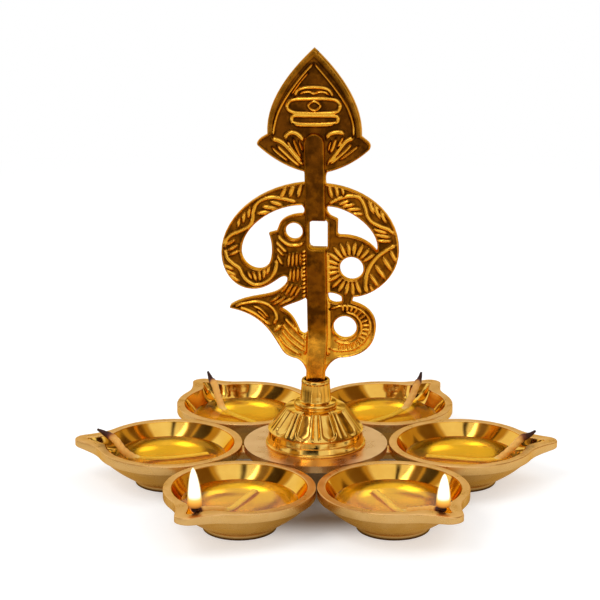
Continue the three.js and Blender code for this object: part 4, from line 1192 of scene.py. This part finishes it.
    # what a cloth rubs bright, and what stays stained at the feet of the ridges and of the rim
    fullness = addNode(tree, "ShaderNodeMath", (rise, leafHeight), operation="DIVIDE")
    fullness = addNode(tree, "ShaderNodeMath", (fullness, 2.0), operation="POWER")
    crown = addNode(tree, "ShaderNodeMapRange", (share, *emblem["crownShine"], 1.0, 0.0), **smoothly)
    crown = addNode(tree, "ShaderNodeMath", (crown, fullness), operation="MULTIPLY")
    shine = addNode(tree, "ShaderNodeMath", (rimShare, entry["Rim Shine"]), operation="MULTIPLY")
    shine = addNode(tree, "ShaderNodeMath", (shine, crown), operation="MAXIMUM")
    pastRidge = addNode(tree, "ShaderNodeMath", (apart, halfWidth), operation="SUBTRACT")
    atRidge = addNode(tree, "ShaderNodeMapRange", (pastRidge, 0.0, reach, 1.0, 0.0), **smoothly)
    stainStart = addNode(tree, "ShaderNodeMath", (rimEnd, 0.1 * mm), operation="SUBTRACT")
    stainEnd = addNode(tree, "ShaderNodeMath", (rimEnd, reach), operation="ADD")
    atRim = addNode(tree, "ShaderNodeMapRange", (toEdge, stainStart, stainEnd, 1.0, 0.0), **smoothly)
    offRim = addNode(tree, "ShaderNodeMapRange", (toEdge, rimWidth, rimEnd, 0.0, 1.0), **smoothly)
    atRim = addNode(tree, "ShaderNodeMath", (atRim, offRim), operation="MULTIPLY")
    stain = addNode(tree, "ShaderNodeMath", (atRidge, atRim), operation="MAXIMUM")
    sheet = entry["Geometry"]
    for name, value in (("relief", shine), ("stain", stain)):
        sheet = addNode(tree, "GeometryNodeStoreNamedAttribute", {
            "Geometry": sheet, "Name": name, "Value": value}, data_type="FLOAT", domain="POINT")

    raised = addNode(tree, "ShaderNodeMath", (height, entry["Ground Half"]), operation="ADD")
    raised = addNode(tree, "ShaderNodeMath", (raised, facing), operation="MULTIPLY")
    raised = addNode(tree, "ShaderNodeCombineXYZ", {"Y": raised})
    sheet = addNode(tree, "GeometryNodeSetPosition", {"Geometry": sheet, "Offset": raised})
    return endTree(tree, entry, sheet)


castRelief = reliefTree()


def spineCasting():
    # a bar with a round top and a notch for the window, thinner towards the tang
    half, low, high = emblem["spineHalfWidth"], emblem["spineLowMiddle"], emblem["spineHighMiddle"]
    start, head = emblem["spineStart"], emblem["spineTop"] - emblem["spineHalfWidth"]
    tang, tangTop = emblem["tangHalfWidth"], emblem["tangTop"]
    bottom, top, notch, corner = (window[name] for name in ("bottom", "top", "left", "corner"))
    cut = 0.3 * corner
    side = [low + (high - low) * (z - start) / (head - start) + half for z in (bottom, top)]
    arc = np.linspace(0, math.pi, 17)
    outline = [(-tang, 0), (tang, 0), (tang, tangTop), (low + half, start), (side[0], bottom),
               (notch + corner, bottom), (notch + cut, bottom + cut), (notch, bottom + corner),
               (notch, top - corner), (notch + cut, top - cut), (notch + corner, top), (side[1], top)]
    outline += [(high + half * math.cos(a), head + half * math.sin(a)) for a in arc]
    outline = np.array(outline + [(low - half, start), (-tang, tangTop)]) * mm
    edge = outlineCurves("spine_outline", [outline])
    spine = asMesh(runTree(denseSheet("emblem_spine", [outline]), castRelief, {
        "Outline": edge, "Ground Half": emblem["spineThickness"] / 2 - emblem["spineRimHeight"],
        "Rim Height": emblem["spineRimHeight"], "Rim Shine": emblem["spineRimShine"],
        "Edge Round": emblem["spineEdge"], "Rim Width": emblem["spineRimWidth"],
        "Rim Fall": emblem["spineRimFall"], "Leaf Height": emblem["ridgeHeight"] * mm,
        "Stain Reach": emblem["spineStain"], "Finish": antiquedCasting}))
    bpy.data.objects.remove(edge)
    for value in spine.data.attributes["relief"].data:
        value.value -= emblem["spineTarnish"]
    thin = emblem["tangThickness"] / emblem["spineThickness"]
    for vertex in spine.data.vertices:
        share = (vertex.co.z - emblem["taperStart"]) / (emblem["taperEnd"] - emblem["taperStart"])
        vertex.co.y *= thin + (1 - thin) * min(max(share, 0), 1)
    return spine


def emblemCasting():
    helpers = {"Ridges": ridgeWires(), "Leaves": leafScatter(),
               "Outline": outlineCurves("emblem_outline", emblemOutlines())}
    sheet = denseSheet("emblem_casting", emblemOutlines(), rowsAlongLines())
    runTree(sheet, castRelief, {
        **helpers, "Ground Half": emblem["groundHalf"] * mm, "Rim Height": emblem["rimHeight"] * mm,
        "Rim Shine": emblem["rimShine"], "Edge Round": emblem["edgeRound"] * mm,
        "Rim Width": emblem["rimWidth"] * mm, "Rim Fall": emblem["rimFall"] * mm,
        "Leaf Height": emblem["ridgeHeight"] * mm, "Stain Reach": emblem["stainReach"] * mm,
        "Finish": antiquedCasting})
    casting = asMesh(sheet)
    for helper in helpers.values():
        bpy.data.objects.remove(helper)
    return casting


emblemTurn = Matrix.Rotation(-math.radians(emblem["yaw"]), 4, "Z")
emblemPlace = Matrix.Translation((0, 0, emblem["foot"])) @ emblemTurn
casting = emblemCasting()
spine = spineCasting()
spine.data.shade_smooth()
for part in (casting, spine):
    part.data.transform(emblemPlace)
    part.data.set_sharp_from_angle(angle=math.radians(emblem["sharpAngle"]))
    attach(part, "stand")
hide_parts("emblem")
print("emblem made")


# The two front lamps burn: how tall each flame is and how far its tip leans

flame = {"front_left": {"height": 17.5 * mm, "lean": (-0.6 * mm, 0, 0)},
         "front_right": {"height": 14.5 * mm, "lean": (0.4 * mm, 0, 0)}}


# Wicks: routes in the frame of each spout, as [along, to its left] in shares of the inner radius, and
# where the wick is raised also the height of its underside over the rim in millimetres

wick = {
    "radius": 1.7 * mm, "gap": 0.3 * mm, "twistPitch": 9 * mm, "strands": 3, "strandHollow": 0.92,
    "taperShare": 0.75, "lengthSteps": 150, "roundSteps": 24,
    "burnt": {"tipRadius": 0.5 * mm, "length": 8 * mm},
    "burning": {"tipRadius": 1.45 * mm, "length": 5 * mm},
}
wickRoutes = {
    "right": ([(-0.53, 0.1), (-0.16, 0.03), (0.25, -0.1)], [
        (0.52, -0.2, -8.7), (0.74, -0.18, -3.9), (0.93, -0.08, 0.2), (1.05, -0.02, 0.9), (1.16, 0.02, 2.5)]),
    "back_right": ([(-0.5, 0.03), (-0.14, 0), (0.2, -0.04)], [
        (0.48, -0.08, -8.1), (0.7, -0.06, -4.3), (0.92, -0.01, 0.3), (1.06, 0.04, 1.2), (1.15, 0.06, 4.4)]),
    "back_left": ([(-0.52, 0.02), (-0.14, 0.04), (0.16, 0.09)], [
        (0.44, 0.15, -8.3), (0.68, 0.1, -4.5), (0.92, 0.03, 0.3), (1.09, -0.01, 1.1), (1.19, -0.01, 4.3)]),
    "left": ([(-0.56, -0.24), (-0.25, -0.13), (0.16, 0.03)], [
        (0.45, 0.17, -9.1), (0.66, 0.22, -5.1), (0.85, 0.11, -0.4), (0.99, 0.05, 1.1), (1.14, 0.02, 2.9)]),
    "front_left": ([(-0.55, -0.1), (-0.16, -0.05), (0.2, 0)], [
        (0.5, 0.06, -7.4), (0.78, 0.06, -4.6), (0.93, 0.05, -3.2), (1.06, 0.03, -2.4), (1.19, 0.04, -0.4)]),
    "front_right": ([(-0.55, 0.08), (-0.2, 0.01), (0.22, -0.1)], [
        (0.52, -0.13, -7.4), (0.78, -0.1, -4.6), (0.93, -0.06, -3.2), (1.06, -0.03, -2.4),
        (1.2, -0.04, -0.4)]),
}


def restHeight(radius):
    # where the middle of a wick lies when it just clears the inside
    step = 0.1 * mm
    slope = (innerHeight(radius + step) - innerHeight(radius)) / step
    return innerHeight(radius) + (wick["radius"] + wick["gap"]) * math.sqrt(1 + slope ** 2)


def wickRoute(lamp):
    soaked, raised = wickRoutes[lamp]
    points = []
    for along, across, *over in soaked + raised:
        x, y = along * bowl["innerRim"], across * bowl["innerRim"]
        radius = math.hypot(x, y)
        height = bowl["height"] + wick["radius"] + over[0] * mm if over else 0
        inside = radius < bowl["innerRim"] * bowl["channelShare"] ** bowl["innerCurve"]
        points.append((x, y, max(height, restHeight(radius)) if inside else height))
    return points


def wickTree():
    # sweeps a twisted, three-lobed strand along the route and draws it thin at the burnt tip
    tree, entry = newTree("twisted_wick", ("Radius", "Tip Radius", "Burnt Length", "Twist Pitch"))
    route = addNode(tree, "GeometryNodeResampleCurve", {
        "Curve": entry["Geometry"], "Count": wick["lengthSteps"]})
    run = addNode(tree, "GeometryNodeSplineParameter").outputs["Length"]
    total = addNode(tree, "GeometryNodeSplineLength")
    toTip = addNode(tree, "ShaderNodeMath", (total, run), operation="SUBTRACT")
    charred = addNode(tree, "ShaderNodeMath", (toTip, entry["Burnt Length"]), operation="DIVIDE")
    route = addNode(tree, "GeometryNodeStoreNamedAttribute", {
        "Geometry": route, "Name": "charShare", "Value": charred}, data_type="FLOAT", domain="POINT")
    turned = addNode(tree, "ShaderNodeMath", (run, entry["Twist Pitch"]), operation="DIVIDE")
    turned = addNode(tree, "ShaderNodeMath", (turned, 2 * math.pi), operation="MULTIPLY")
    route = addNode(tree, "GeometryNodeSetCurveTilt", {"Curve": route, "Tilt": turned})
    tapered = addNode(tree, "ShaderNodeMath", (entry["Burnt Length"], wick["taperShare"]),
                      operation="MULTIPLY")
    thin = addNode(tree, "ShaderNodeMapRange", (toTip, 0.0, tapered, entry["Tip Radius"], entry["Radius"]))
    circle = addNode(tree, "GeometryNodeCurvePrimitiveCircle", {
        "Resolution": wick["roundSteps"], "Radius": 1.0})
    around = addNode(tree, "GeometryNodeSplineParameter")
    lobes = addNode(tree, "ShaderNodeMath", (around, 2 * math.pi * wick["strands"]), operation="MULTIPLY")
    lobes = addNode(tree, "ShaderNodeMath", (lobes,), operation="COSINE")
    lobes = addNode(tree, "ShaderNodeMapRange", (lobes, -1.0, 1.0, wick["strandHollow"], 1.0))
    here = addNode(tree, "GeometryNodeInputPosition")
    lobed = addNode(tree, "ShaderNodeVectorMath", {0: here, "Scale": lobes}, operation="SCALE")
    section = addNode(tree, "GeometryNodeSetPosition", {"Geometry": circle, "Position": lobed})
    swept = addNode(tree, "GeometryNodeCurveToMesh", {
        "Curve": route, "Profile Curve": section, "Scale": thin, "Fill Caps": True})
    return endTree(tree, entry, swept)


cotton = {
    "tones": ((0, "#2E1206"), (0.6, "#42190A"), (0.72, "#7A4020"), (0.8, "#CC9048"), (0.95, "#F4BE64")),
    "cloudTones": ("#F2D8B0", "#FFFFFF"), "soakedTone": "#F4D87C", "fibreSize": mm / 0.9,
    "cloudSize": 6.25 * mm, "soakedBelow": -0.5 * mm, "dryAbove": 1.5 * mm,
}


def cottonFinish():
    # twisted cotton full of oil: waxy peach, yellow where it lies in the oil, browned and then black at the
    # burnt tip. The fibres are drawn about 1 mm apart to show.
    material, tree = newMaterial("oiled_cotton")
    charred = addNode(tree, "ShaderNodeAttribute", attribute_name="charShare").outputs["Fac"]
    place = addNode(tree, "ShaderNodeTexCoord").outputs["Object"]
    height = addNode(tree, "ShaderNodeSeparateXYZ", (place,)).outputs["Z"]
    fibres = addNode(tree, "ShaderNodeTexNoise", {
        "Vector": place, "Scale": 1 / cotton["fibreSize"], "Detail": 3.0})
    cloud = addNode(tree, "ShaderNodeTexNoise", {"Vector": place, "Scale": 1 / cotton["cloudSize"]})
    away = addNode(tree, "ShaderNodeMath", (charred, 0.7), operation="MULTIPLY")
    away = addNode(tree, "ShaderNodeMath", (cloud, 0.2, away), operation="MULTIPLY_ADD")
    burnt = addNode(tree, "ShaderNodeValToRGB", (away,))
    setStops(burnt, cotton["tones"])
    low, high = [colour(code) for code in cotton["cloudTones"]]
    shade = addNode(tree, "ShaderNodeMix", {0: cloud, 6: low, 7: high}, data_type="RGBA").outputs[2]
    tone = addNode(tree, "ShaderNodeMix", {0: 1.0, 6: burnt, 7: shade}, data_type="RGBA",
                   blend_type="MULTIPLY").outputs[2]
    soaked = addNode(tree, "ShaderNodeMapRange", (
        height, oilLevel + cotton["soakedBelow"], oilLevel + cotton["dryAbove"], 1.0, 0.0))
    tone = addNode(tree, "ShaderNodeMix", {0: soaked, 6: tone, 7: colour(cotton["soakedTone"])},
                   data_type="RGBA").outputs[2]
    bump = addNode(tree, "ShaderNodeBump", {"Height": fibres, "Strength": 0.4, "Distance": 0.12 * mm})
    shader = addNode(tree, "ShaderNodeBsdfPrincipled", {
        "Base Color": tone, "Roughness": 0.5, "Specular IOR Level": 0.25, "Subsurface Weight": 0.1,
        "Subsurface Radius": (0.9, 0.5, 0.25), "Subsurface Scale": 1.2 * mm, "Normal": bump})
    addNode(tree, "ShaderNodeOutputMaterial", (shader,))
    return material


oiledCotton = cottonFinish()
strandTree = wickTree()


def wickPlace(lamp):
    return bowlPlace(lamp) @ Matrix.Rotation(math.radians(spoutTurns[lamp]), 4, "Z")


for lamp in lampAngles:
    curve = bpy.data.curves.new(f"cotton_{lamp}", "CURVE")
    curve.dimensions = "3D"
    curve.resolution_u = 12
    spline = curve.splines.new("BEZIER")
    points = wickRoute(lamp)
    spline.bezier_points.add(len(points) - 1)
    for knot, point in zip(spline.bezier_points, points):
        knot.co = point
        knot.handle_left_type = knot.handle_right_type = "AUTO"
    end = wick["burning" if lamp in flame else "burnt"]
    strand = runTree(link(f"cotton_{lamp}", curve), strandTree, {
        "Radius": wick["radius"], "Tip Radius": end["tipRadius"], "Burnt Length": end["length"],
        "Twist Pitch": wick["twistPitch"], "Finish": oiledCotton})
    strand = asMesh(strand, wickPlace(lamp))
    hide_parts(f"wick_{lamp}")
    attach(strand, f"wick_{lamp}")
print("wicks made")


# Flames on the two front wicks

# the foot is measured from the wick's tip, the shares along the flame's height
flameShape = {
    "halfWidth": 3 * mm, "foot": (-0.5 * mm, 0, 0.4 * mm), "footShare": 0.06, "footCurve": 0.45,
    "taper": 2.0, "taperCurve": 0.66, "leanCurve": 1.5, "coreWidth": 0.84, "coreStart": 0.02,
    "coreEnd": 0.97, "toneShares": (0, 0.13, 0.22, 0.34),
}


def flameFinish(name, tones, strength, cover):
    # hot gas: it only glows, brown and orange at the foot and white above
    material, tree = newMaterial(name)
    rise = addNode(tree, "ShaderNodeAttribute", attribute_name="flameShare").outputs["Fac"]
    tone = addNode(tree, "ShaderNodeValToRGB", (rise,))
    setStops(tone, list(zip(flameShape["toneShares"], tones)))
    glow = addNode(tree, "ShaderNodeEmission", (tone, strength))
    clear = addNode(tree, "ShaderNodeBsdfTransparent")
    mixed = addNode(tree, "ShaderNodeMixShader", (cover, clear, glow))
    addNode(tree, "ShaderNodeOutputMaterial", (mixed,))
    return material


flameGlow = flameFinish("flame_mantle", ("#8A4A1C", "#F09A38", "#FFC860", "#FFE9A8"), 1.1, 0.5)
flameCore = flameFinish("flame_core", ("#502810", "#A2702A", "#A79240", "#FFFFFF"), 2.6, 1.0)


def flameBody(name, lamp, width, bottomShare, topShare, material):
    size = 40
    turn = np.linspace(0, 2 * math.pi, size, endpoint=False)
    flameHeight, lean = flame[lamp]["height"], Vector(flame[lamp]["lean"])
    foot = wickPlace(lamp) @ (Vector(wickRoute(lamp)[-1]) + Vector(flameShape["foot"]))

    def middle(share):
        return foot + lean * share ** flameShape["leanCurve"] + Vector((0, 0, share * flameHeight))

    shares = np.linspace(bottomShare, topShare, 40)
    rings = []
    for share in shares[1:-1]:
        inner = (share - bottomShare) / (topShare - bottomShare)
        swell = math.sin(math.pi * min(inner / flameShape["footShare"], 1) / 2) ** flameShape["footCurve"]
        swell *= (1 - inner ** flameShape["taper"]) ** flameShape["taperCurve"]
        radius = flameShape["halfWidth"] * width * swell
        x, y, z = middle(share)
        rings.append(np.stack([x + radius * np.cos(turn), y + radius * np.sin(turn), np.full(size, z)], 1))
    body = ringMesh(name, rings, tuple(middle(bottomShare)), tuple(middle(topShare)), [0] * len(rings),
                    [material])
    storeValues(body.data, {"flameShare": [bottomShare, *np.repeat(shares[1:-1], size), topShare]})
    return body


for lamp in flame:
    mantle = flameBody(f"flame_mantle_{lamp}", lamp, 1.0, 0.0, 1.0, flameGlow)
    core = flameBody(f"flame_core_{lamp}", lamp, flameShape["coreWidth"], flameShape["coreStart"],
                     flameShape["coreEnd"], flameCore)
    both = joined(f"flame_{lamp}", [mantle, core])
    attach(both, f"wick_{lamp}")
print("flames made")


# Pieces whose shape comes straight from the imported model

def dress(node, material):
    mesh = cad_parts[node].data
    mesh.materials.clear()
    mesh.materials.append(material)


dress("base_disc", rolledPlate)
for node in ["tie_washer", "tie_nut", "tie_rod"] + [f"ear_screw_{lamp}" for lamp in lampAngles]:
    dress(node, screwBrass)
print("fasteners dressed")


# Studio

studio = {
    "floorSize": 8.0, "shadowEnd": 0.7, "underStand": 0.045, "besideStand": 0.075, "paperLift": 0.5,
    "paperGrey": 0.86, "shadowGrey": 0.66, "skyLight": 0.6, "lampSize": 1.1, "lampTarget": (0, 0, 0.08),
}
lamps = {"soft_left": ((-0.9, -0.6, 1.3), 10), "soft_right": ((1.0, 0.2, 1.3), 6)}
camera = {"lens": 131.9, "sensor": 36, "eye": (-0.0069, -0.9178, 0.3422), "target": (-0.0069, 0, 0.0832)}


def seenPlain(tree):
    # 1 for rays from the camera and for those that metal and oil send out
    path = addNode(tree, "ShaderNodeLightPath").outputs
    seen = addNode(tree, "ShaderNodeMath", (path["Is Camera Ray"], path["Is Glossy Ray"]),
                   operation="MAXIMUM")
    return addNode(tree, "ShaderNodeMath", (seen, path["Is Transmission Ray"]), operation="MAXIMUM")


def floorFinish():
    # white paper that keeps the stand's soft shadow, with painted shade under the stand where its glow is
    # taken away, and runs out to plain white
    material, tree = newMaterial("white_paper_floor")
    place = addNode(tree, "ShaderNodeTexCoord").outputs["Object"]
    apart = addNode(tree, "ShaderNodeVectorMath", (place,), operation="LENGTH").outputs["Value"]
    paper, shadowed = [addNode(tree, "ShaderNodeBsdfDiffuse", ((grey, grey, grey, 1),))
                       for grey in (studio["paperGrey"], studio["shadowGrey"])]
    # the glow that lifts the paper to white fades out under the stand: painted shade there
    beside = addNode(tree, "ShaderNodeMapRange", (
        apart, studio["underStand"], studio["besideStand"], 0.0, studio["paperLift"]), **smoothly)
    lift = addNode(tree, "ShaderNodeEmission", ((1, 1, 1, 1), beside))
    lit = addNode(tree, "ShaderNodeAddShader", (shadowed, lift))
    plain = addNode(tree, "ShaderNodeEmission", ((1, 1, 1, 1), 1.0))
    far = addNode(tree, "ShaderNodeMapRange", (apart, studio["shadowEnd"] / 2, studio["shadowEnd"], 0.0, 1.0),
                  **smoothly)
    around = addNode(tree, "ShaderNodeMixShader", (far, lit, plain))
    mixed = addNode(tree, "ShaderNodeMixShader", (seenPlain(tree), paper, around))
    addNode(tree, "ShaderNodeOutputMaterial", (mixed,))
    return material


def makeFloor():
    half = studio["floorSize"] / 2
    mesh = bpy.data.meshes.new("paper_floor")
    corners = [(-half, -half, 0), (half, -half, 0), (half, half, 0), (-half, half, 0)]
    mesh.from_pydata(corners, [], [(0, 1, 2, 3)])
    mesh.materials.append(floorFinish())
    link("paper_floor", mesh)


def makeWorld():
    world = bpy.data.worlds.new("white_studio")
    scene.world = world
    world.use_nodes = True
    tree = world.node_tree
    tree.nodes.clear()
    strength = addNode(tree, "ShaderNodeMapRange", (seenPlain(tree), 0.0, 1.0, studio["skyLight"], 1.0))
    sky = addNode(tree, "ShaderNodeBackground", ((1, 1, 1, 1), strength))
    addNode(tree, "ShaderNodeOutputWorld", (sky,))


# Toned cards that only the metal and the oil mirror. The floor's are rings of radius and tone, darkened
# in sectors: middle and width in degrees, and how dark.
cards = {"radius": 1.25, "step": 0.01, "soft": 5, "softTop": 26, "sectorStart": 0.14, "sectorRun": 0.12,
         "leftShade": 0.5, "rightLift": 0.3, "floor": (
             (0, "#54452E"), (0.065, "#8E7A58"), (0.1, "#D4C4A4"), (0.14, "#EEE2C8"), (0.2, "#E9D7AC"),
             (0.27, "#E0C894"), (0.6, "#D8BE88"), (0.9, "#FFFFFF")),
         "sectors": (
             (-75, 5, 0.5), (-52, 5, 0.45), (-24, 7, 0.55), (24, 12, 0.4), (68, 12, 0.35),
             (114, 12, 0.4), (157, 12, 0.3), (-172, 9, 0.35), (-148, 8, 0.3), (-127, 6, 0.45))}
# Turn, width, low and high edge in degrees, and tone. The low ones are mirrored by the bell's drum.
wallCards = (
    (-99, 14, 36, 88, "#3A280A"), (-139, 20, 24, 88, "#745422"), (-166, 30, 20, 90, "#3A2A12"),
    (-15, 40, 22, 88, "#745422"), (27, 28, 22, 88, "#563C12"), (62, 22, 38, 88, "#7A5C24"),
    (126, 28, 38, 88, "#826428"), (90, 84, 13, 27, "#86692A"), (-160, 74, 2, 90, "#BE9A4E"),
    (2, 100, 2, 90, "#C09E54"), (-101, 34, -5, 19, "#1C1204"), (-141, 22, -5, 19, "#4A2E0C"),
    (177, 18, -5, 19, "#5A3C12"), (-14, 12, -5, 19, "#4A300E"), (9, 11, -5, 19, "#6A4816"),
    (31, 13, -5, 19, "#4A300E"),
)


def cardPatch(order, turn, width, low, high, code):
    # a patch of a sphere with a soft edge, the later ones behind the earlier
    turns, rises = np.linspace(-width / 2, width / 2, 13), np.linspace(low, high, 17)
    side, up = np.meshgrid(np.radians(turn + turns), np.radians(rises))
    points = np.stack([np.cos(up) * np.cos(side), np.cos(up) * np.sin(side), np.sin(up)], 2)
    points *= cards["radius"] + cards["step"] * order
    toSide = (width / 2 - np.abs(turns)) / cards["soft"]
    toTop = (high - rises) / min(cards["softTop"], (high - low) / 2)
    toEnds = np.minimum((rises - low) / cards["soft"], toTop)
    cover = np.clip(np.minimum(toSide[None, :], toEnds[:, None]), 0, 1)
    return points, cover, np.broadcast_to(colour(code), (*cover.shape, 4))


def cardFloor():
    # the floor as the metal mirrors it: painted shade under the stand, painted light darker on the left and
    # lighter on the right, streaked farther out, until it runs out into the paper
    radii = np.array([radius for radius, code in cards["floor"]])
    tones = np.array([colour(code) for radius, code in cards["floor"]])
    turn = np.linspace(0, 2 * math.pi, 121)
    x, y = radii[:, None] * np.cos(turn), radii[:, None] * np.sin(turn)
    points = np.stack(np.broadcast_arrays(x, y, 0.3 * mm), 2)
    cover = np.broadcast_to((radii < radii[-1]).astype(float)[:, None], points.shape[:2])
    out = np.clip((radii - cards["sectorStart"]) / cards["sectorRun"], 0, 1)[:, None]
    shade = 1 + np.where(np.cos(turn) < 0, cards["leftShade"], cards["rightLift"]) * np.cos(turn)
    for middle, width, dark in cards["sectors"]:
        off = (np.degrees(turn) - middle + 180) % 360 - 180
        shade = shade * (1 - (1 - dark) * np.exp(-(off / width) ** 2))
    return points, cover, tones[:, None] * (1 - out * (1 - shade))[..., None]


def makeCards():
    material, tree = newMaterial("toned_card")
    tone, cover = [addNode(tree, "ShaderNodeAttribute", attribute_name=name).outputs
                   for name in ("tone", "cover")]
    glow = addNode(tree, "ShaderNodeEmission", (tone["Color"], 1.0))
    clear = addNode(tree, "ShaderNodeBsdfTransparent")
    mixed = addNode(tree, "ShaderNodeMixShader", (cover["Fac"], clear, glow))
    addNode(tree, "ShaderNodeOutputMaterial", (mixed,))
    points, covers, tones, faces, first = [], [], [], [], 0
    for grid, cover, tone in [cardPatch(i, *card) for i, card in enumerate(wallCards)] + [cardFloor()]:
        rows, columns = cover.shape
        corners = np.arange(first, first + rows * columns).reshape(rows, columns)[:-1, :-1].ravel().tolist()
        faces += [(corner, corner + 1, corner + columns + 1, corner + columns) for corner in corners]
        points.append(grid.reshape(-1, 3))
        covers.append(cover.ravel())
        tones.append(tone.reshape(-1, 4))
        first += rows * columns
    mesh = bpy.data.meshes.new("toned_cards")
    mesh.from_pydata(np.vstack(points).tolist(), [], faces)
    mesh.materials.append(material)
    storeValues(mesh, {"cover": np.concatenate(covers)})
    field = mesh.attributes.new("tone", "FLOAT_COLOR", "POINT")
    field.data.foreach_set("color", np.vstack(tones).ravel().astype(np.float32))
    sheet = link("toned_cards", mesh)
    sheet.visible_camera = sheet.visible_diffuse = sheet.visible_shadow = sheet.visible_transmission = False


def makeLamp(name, place, watts):
    data = bpy.data.lights.new(name, "AREA")
    data.energy = watts
    data.size = studio["lampSize"]
    lamp = link(name, data)
    lamp.location = place
    lamp.rotation_euler = (Vector(studio["lampTarget"]) - Vector(place)).to_track_quat("-Z", "Y").to_euler()


def makeCamera():
    data = bpy.data.cameras.new("view")
    data.lens = camera["lens"]
    data.sensor_width = camera["sensor"]
    view = link("view", data)
    view.location = camera["eye"]
    view.rotation_euler = (Vector(camera["target"]) - view.location).to_track_quat("-Z", "Y").to_euler()
    scene.camera = view


makeFloor()
makeWorld()
makeCards()
for name, (place, watts) in lamps.items():
    makeLamp(name, place, watts)
makeCamera()
print("studio ready")
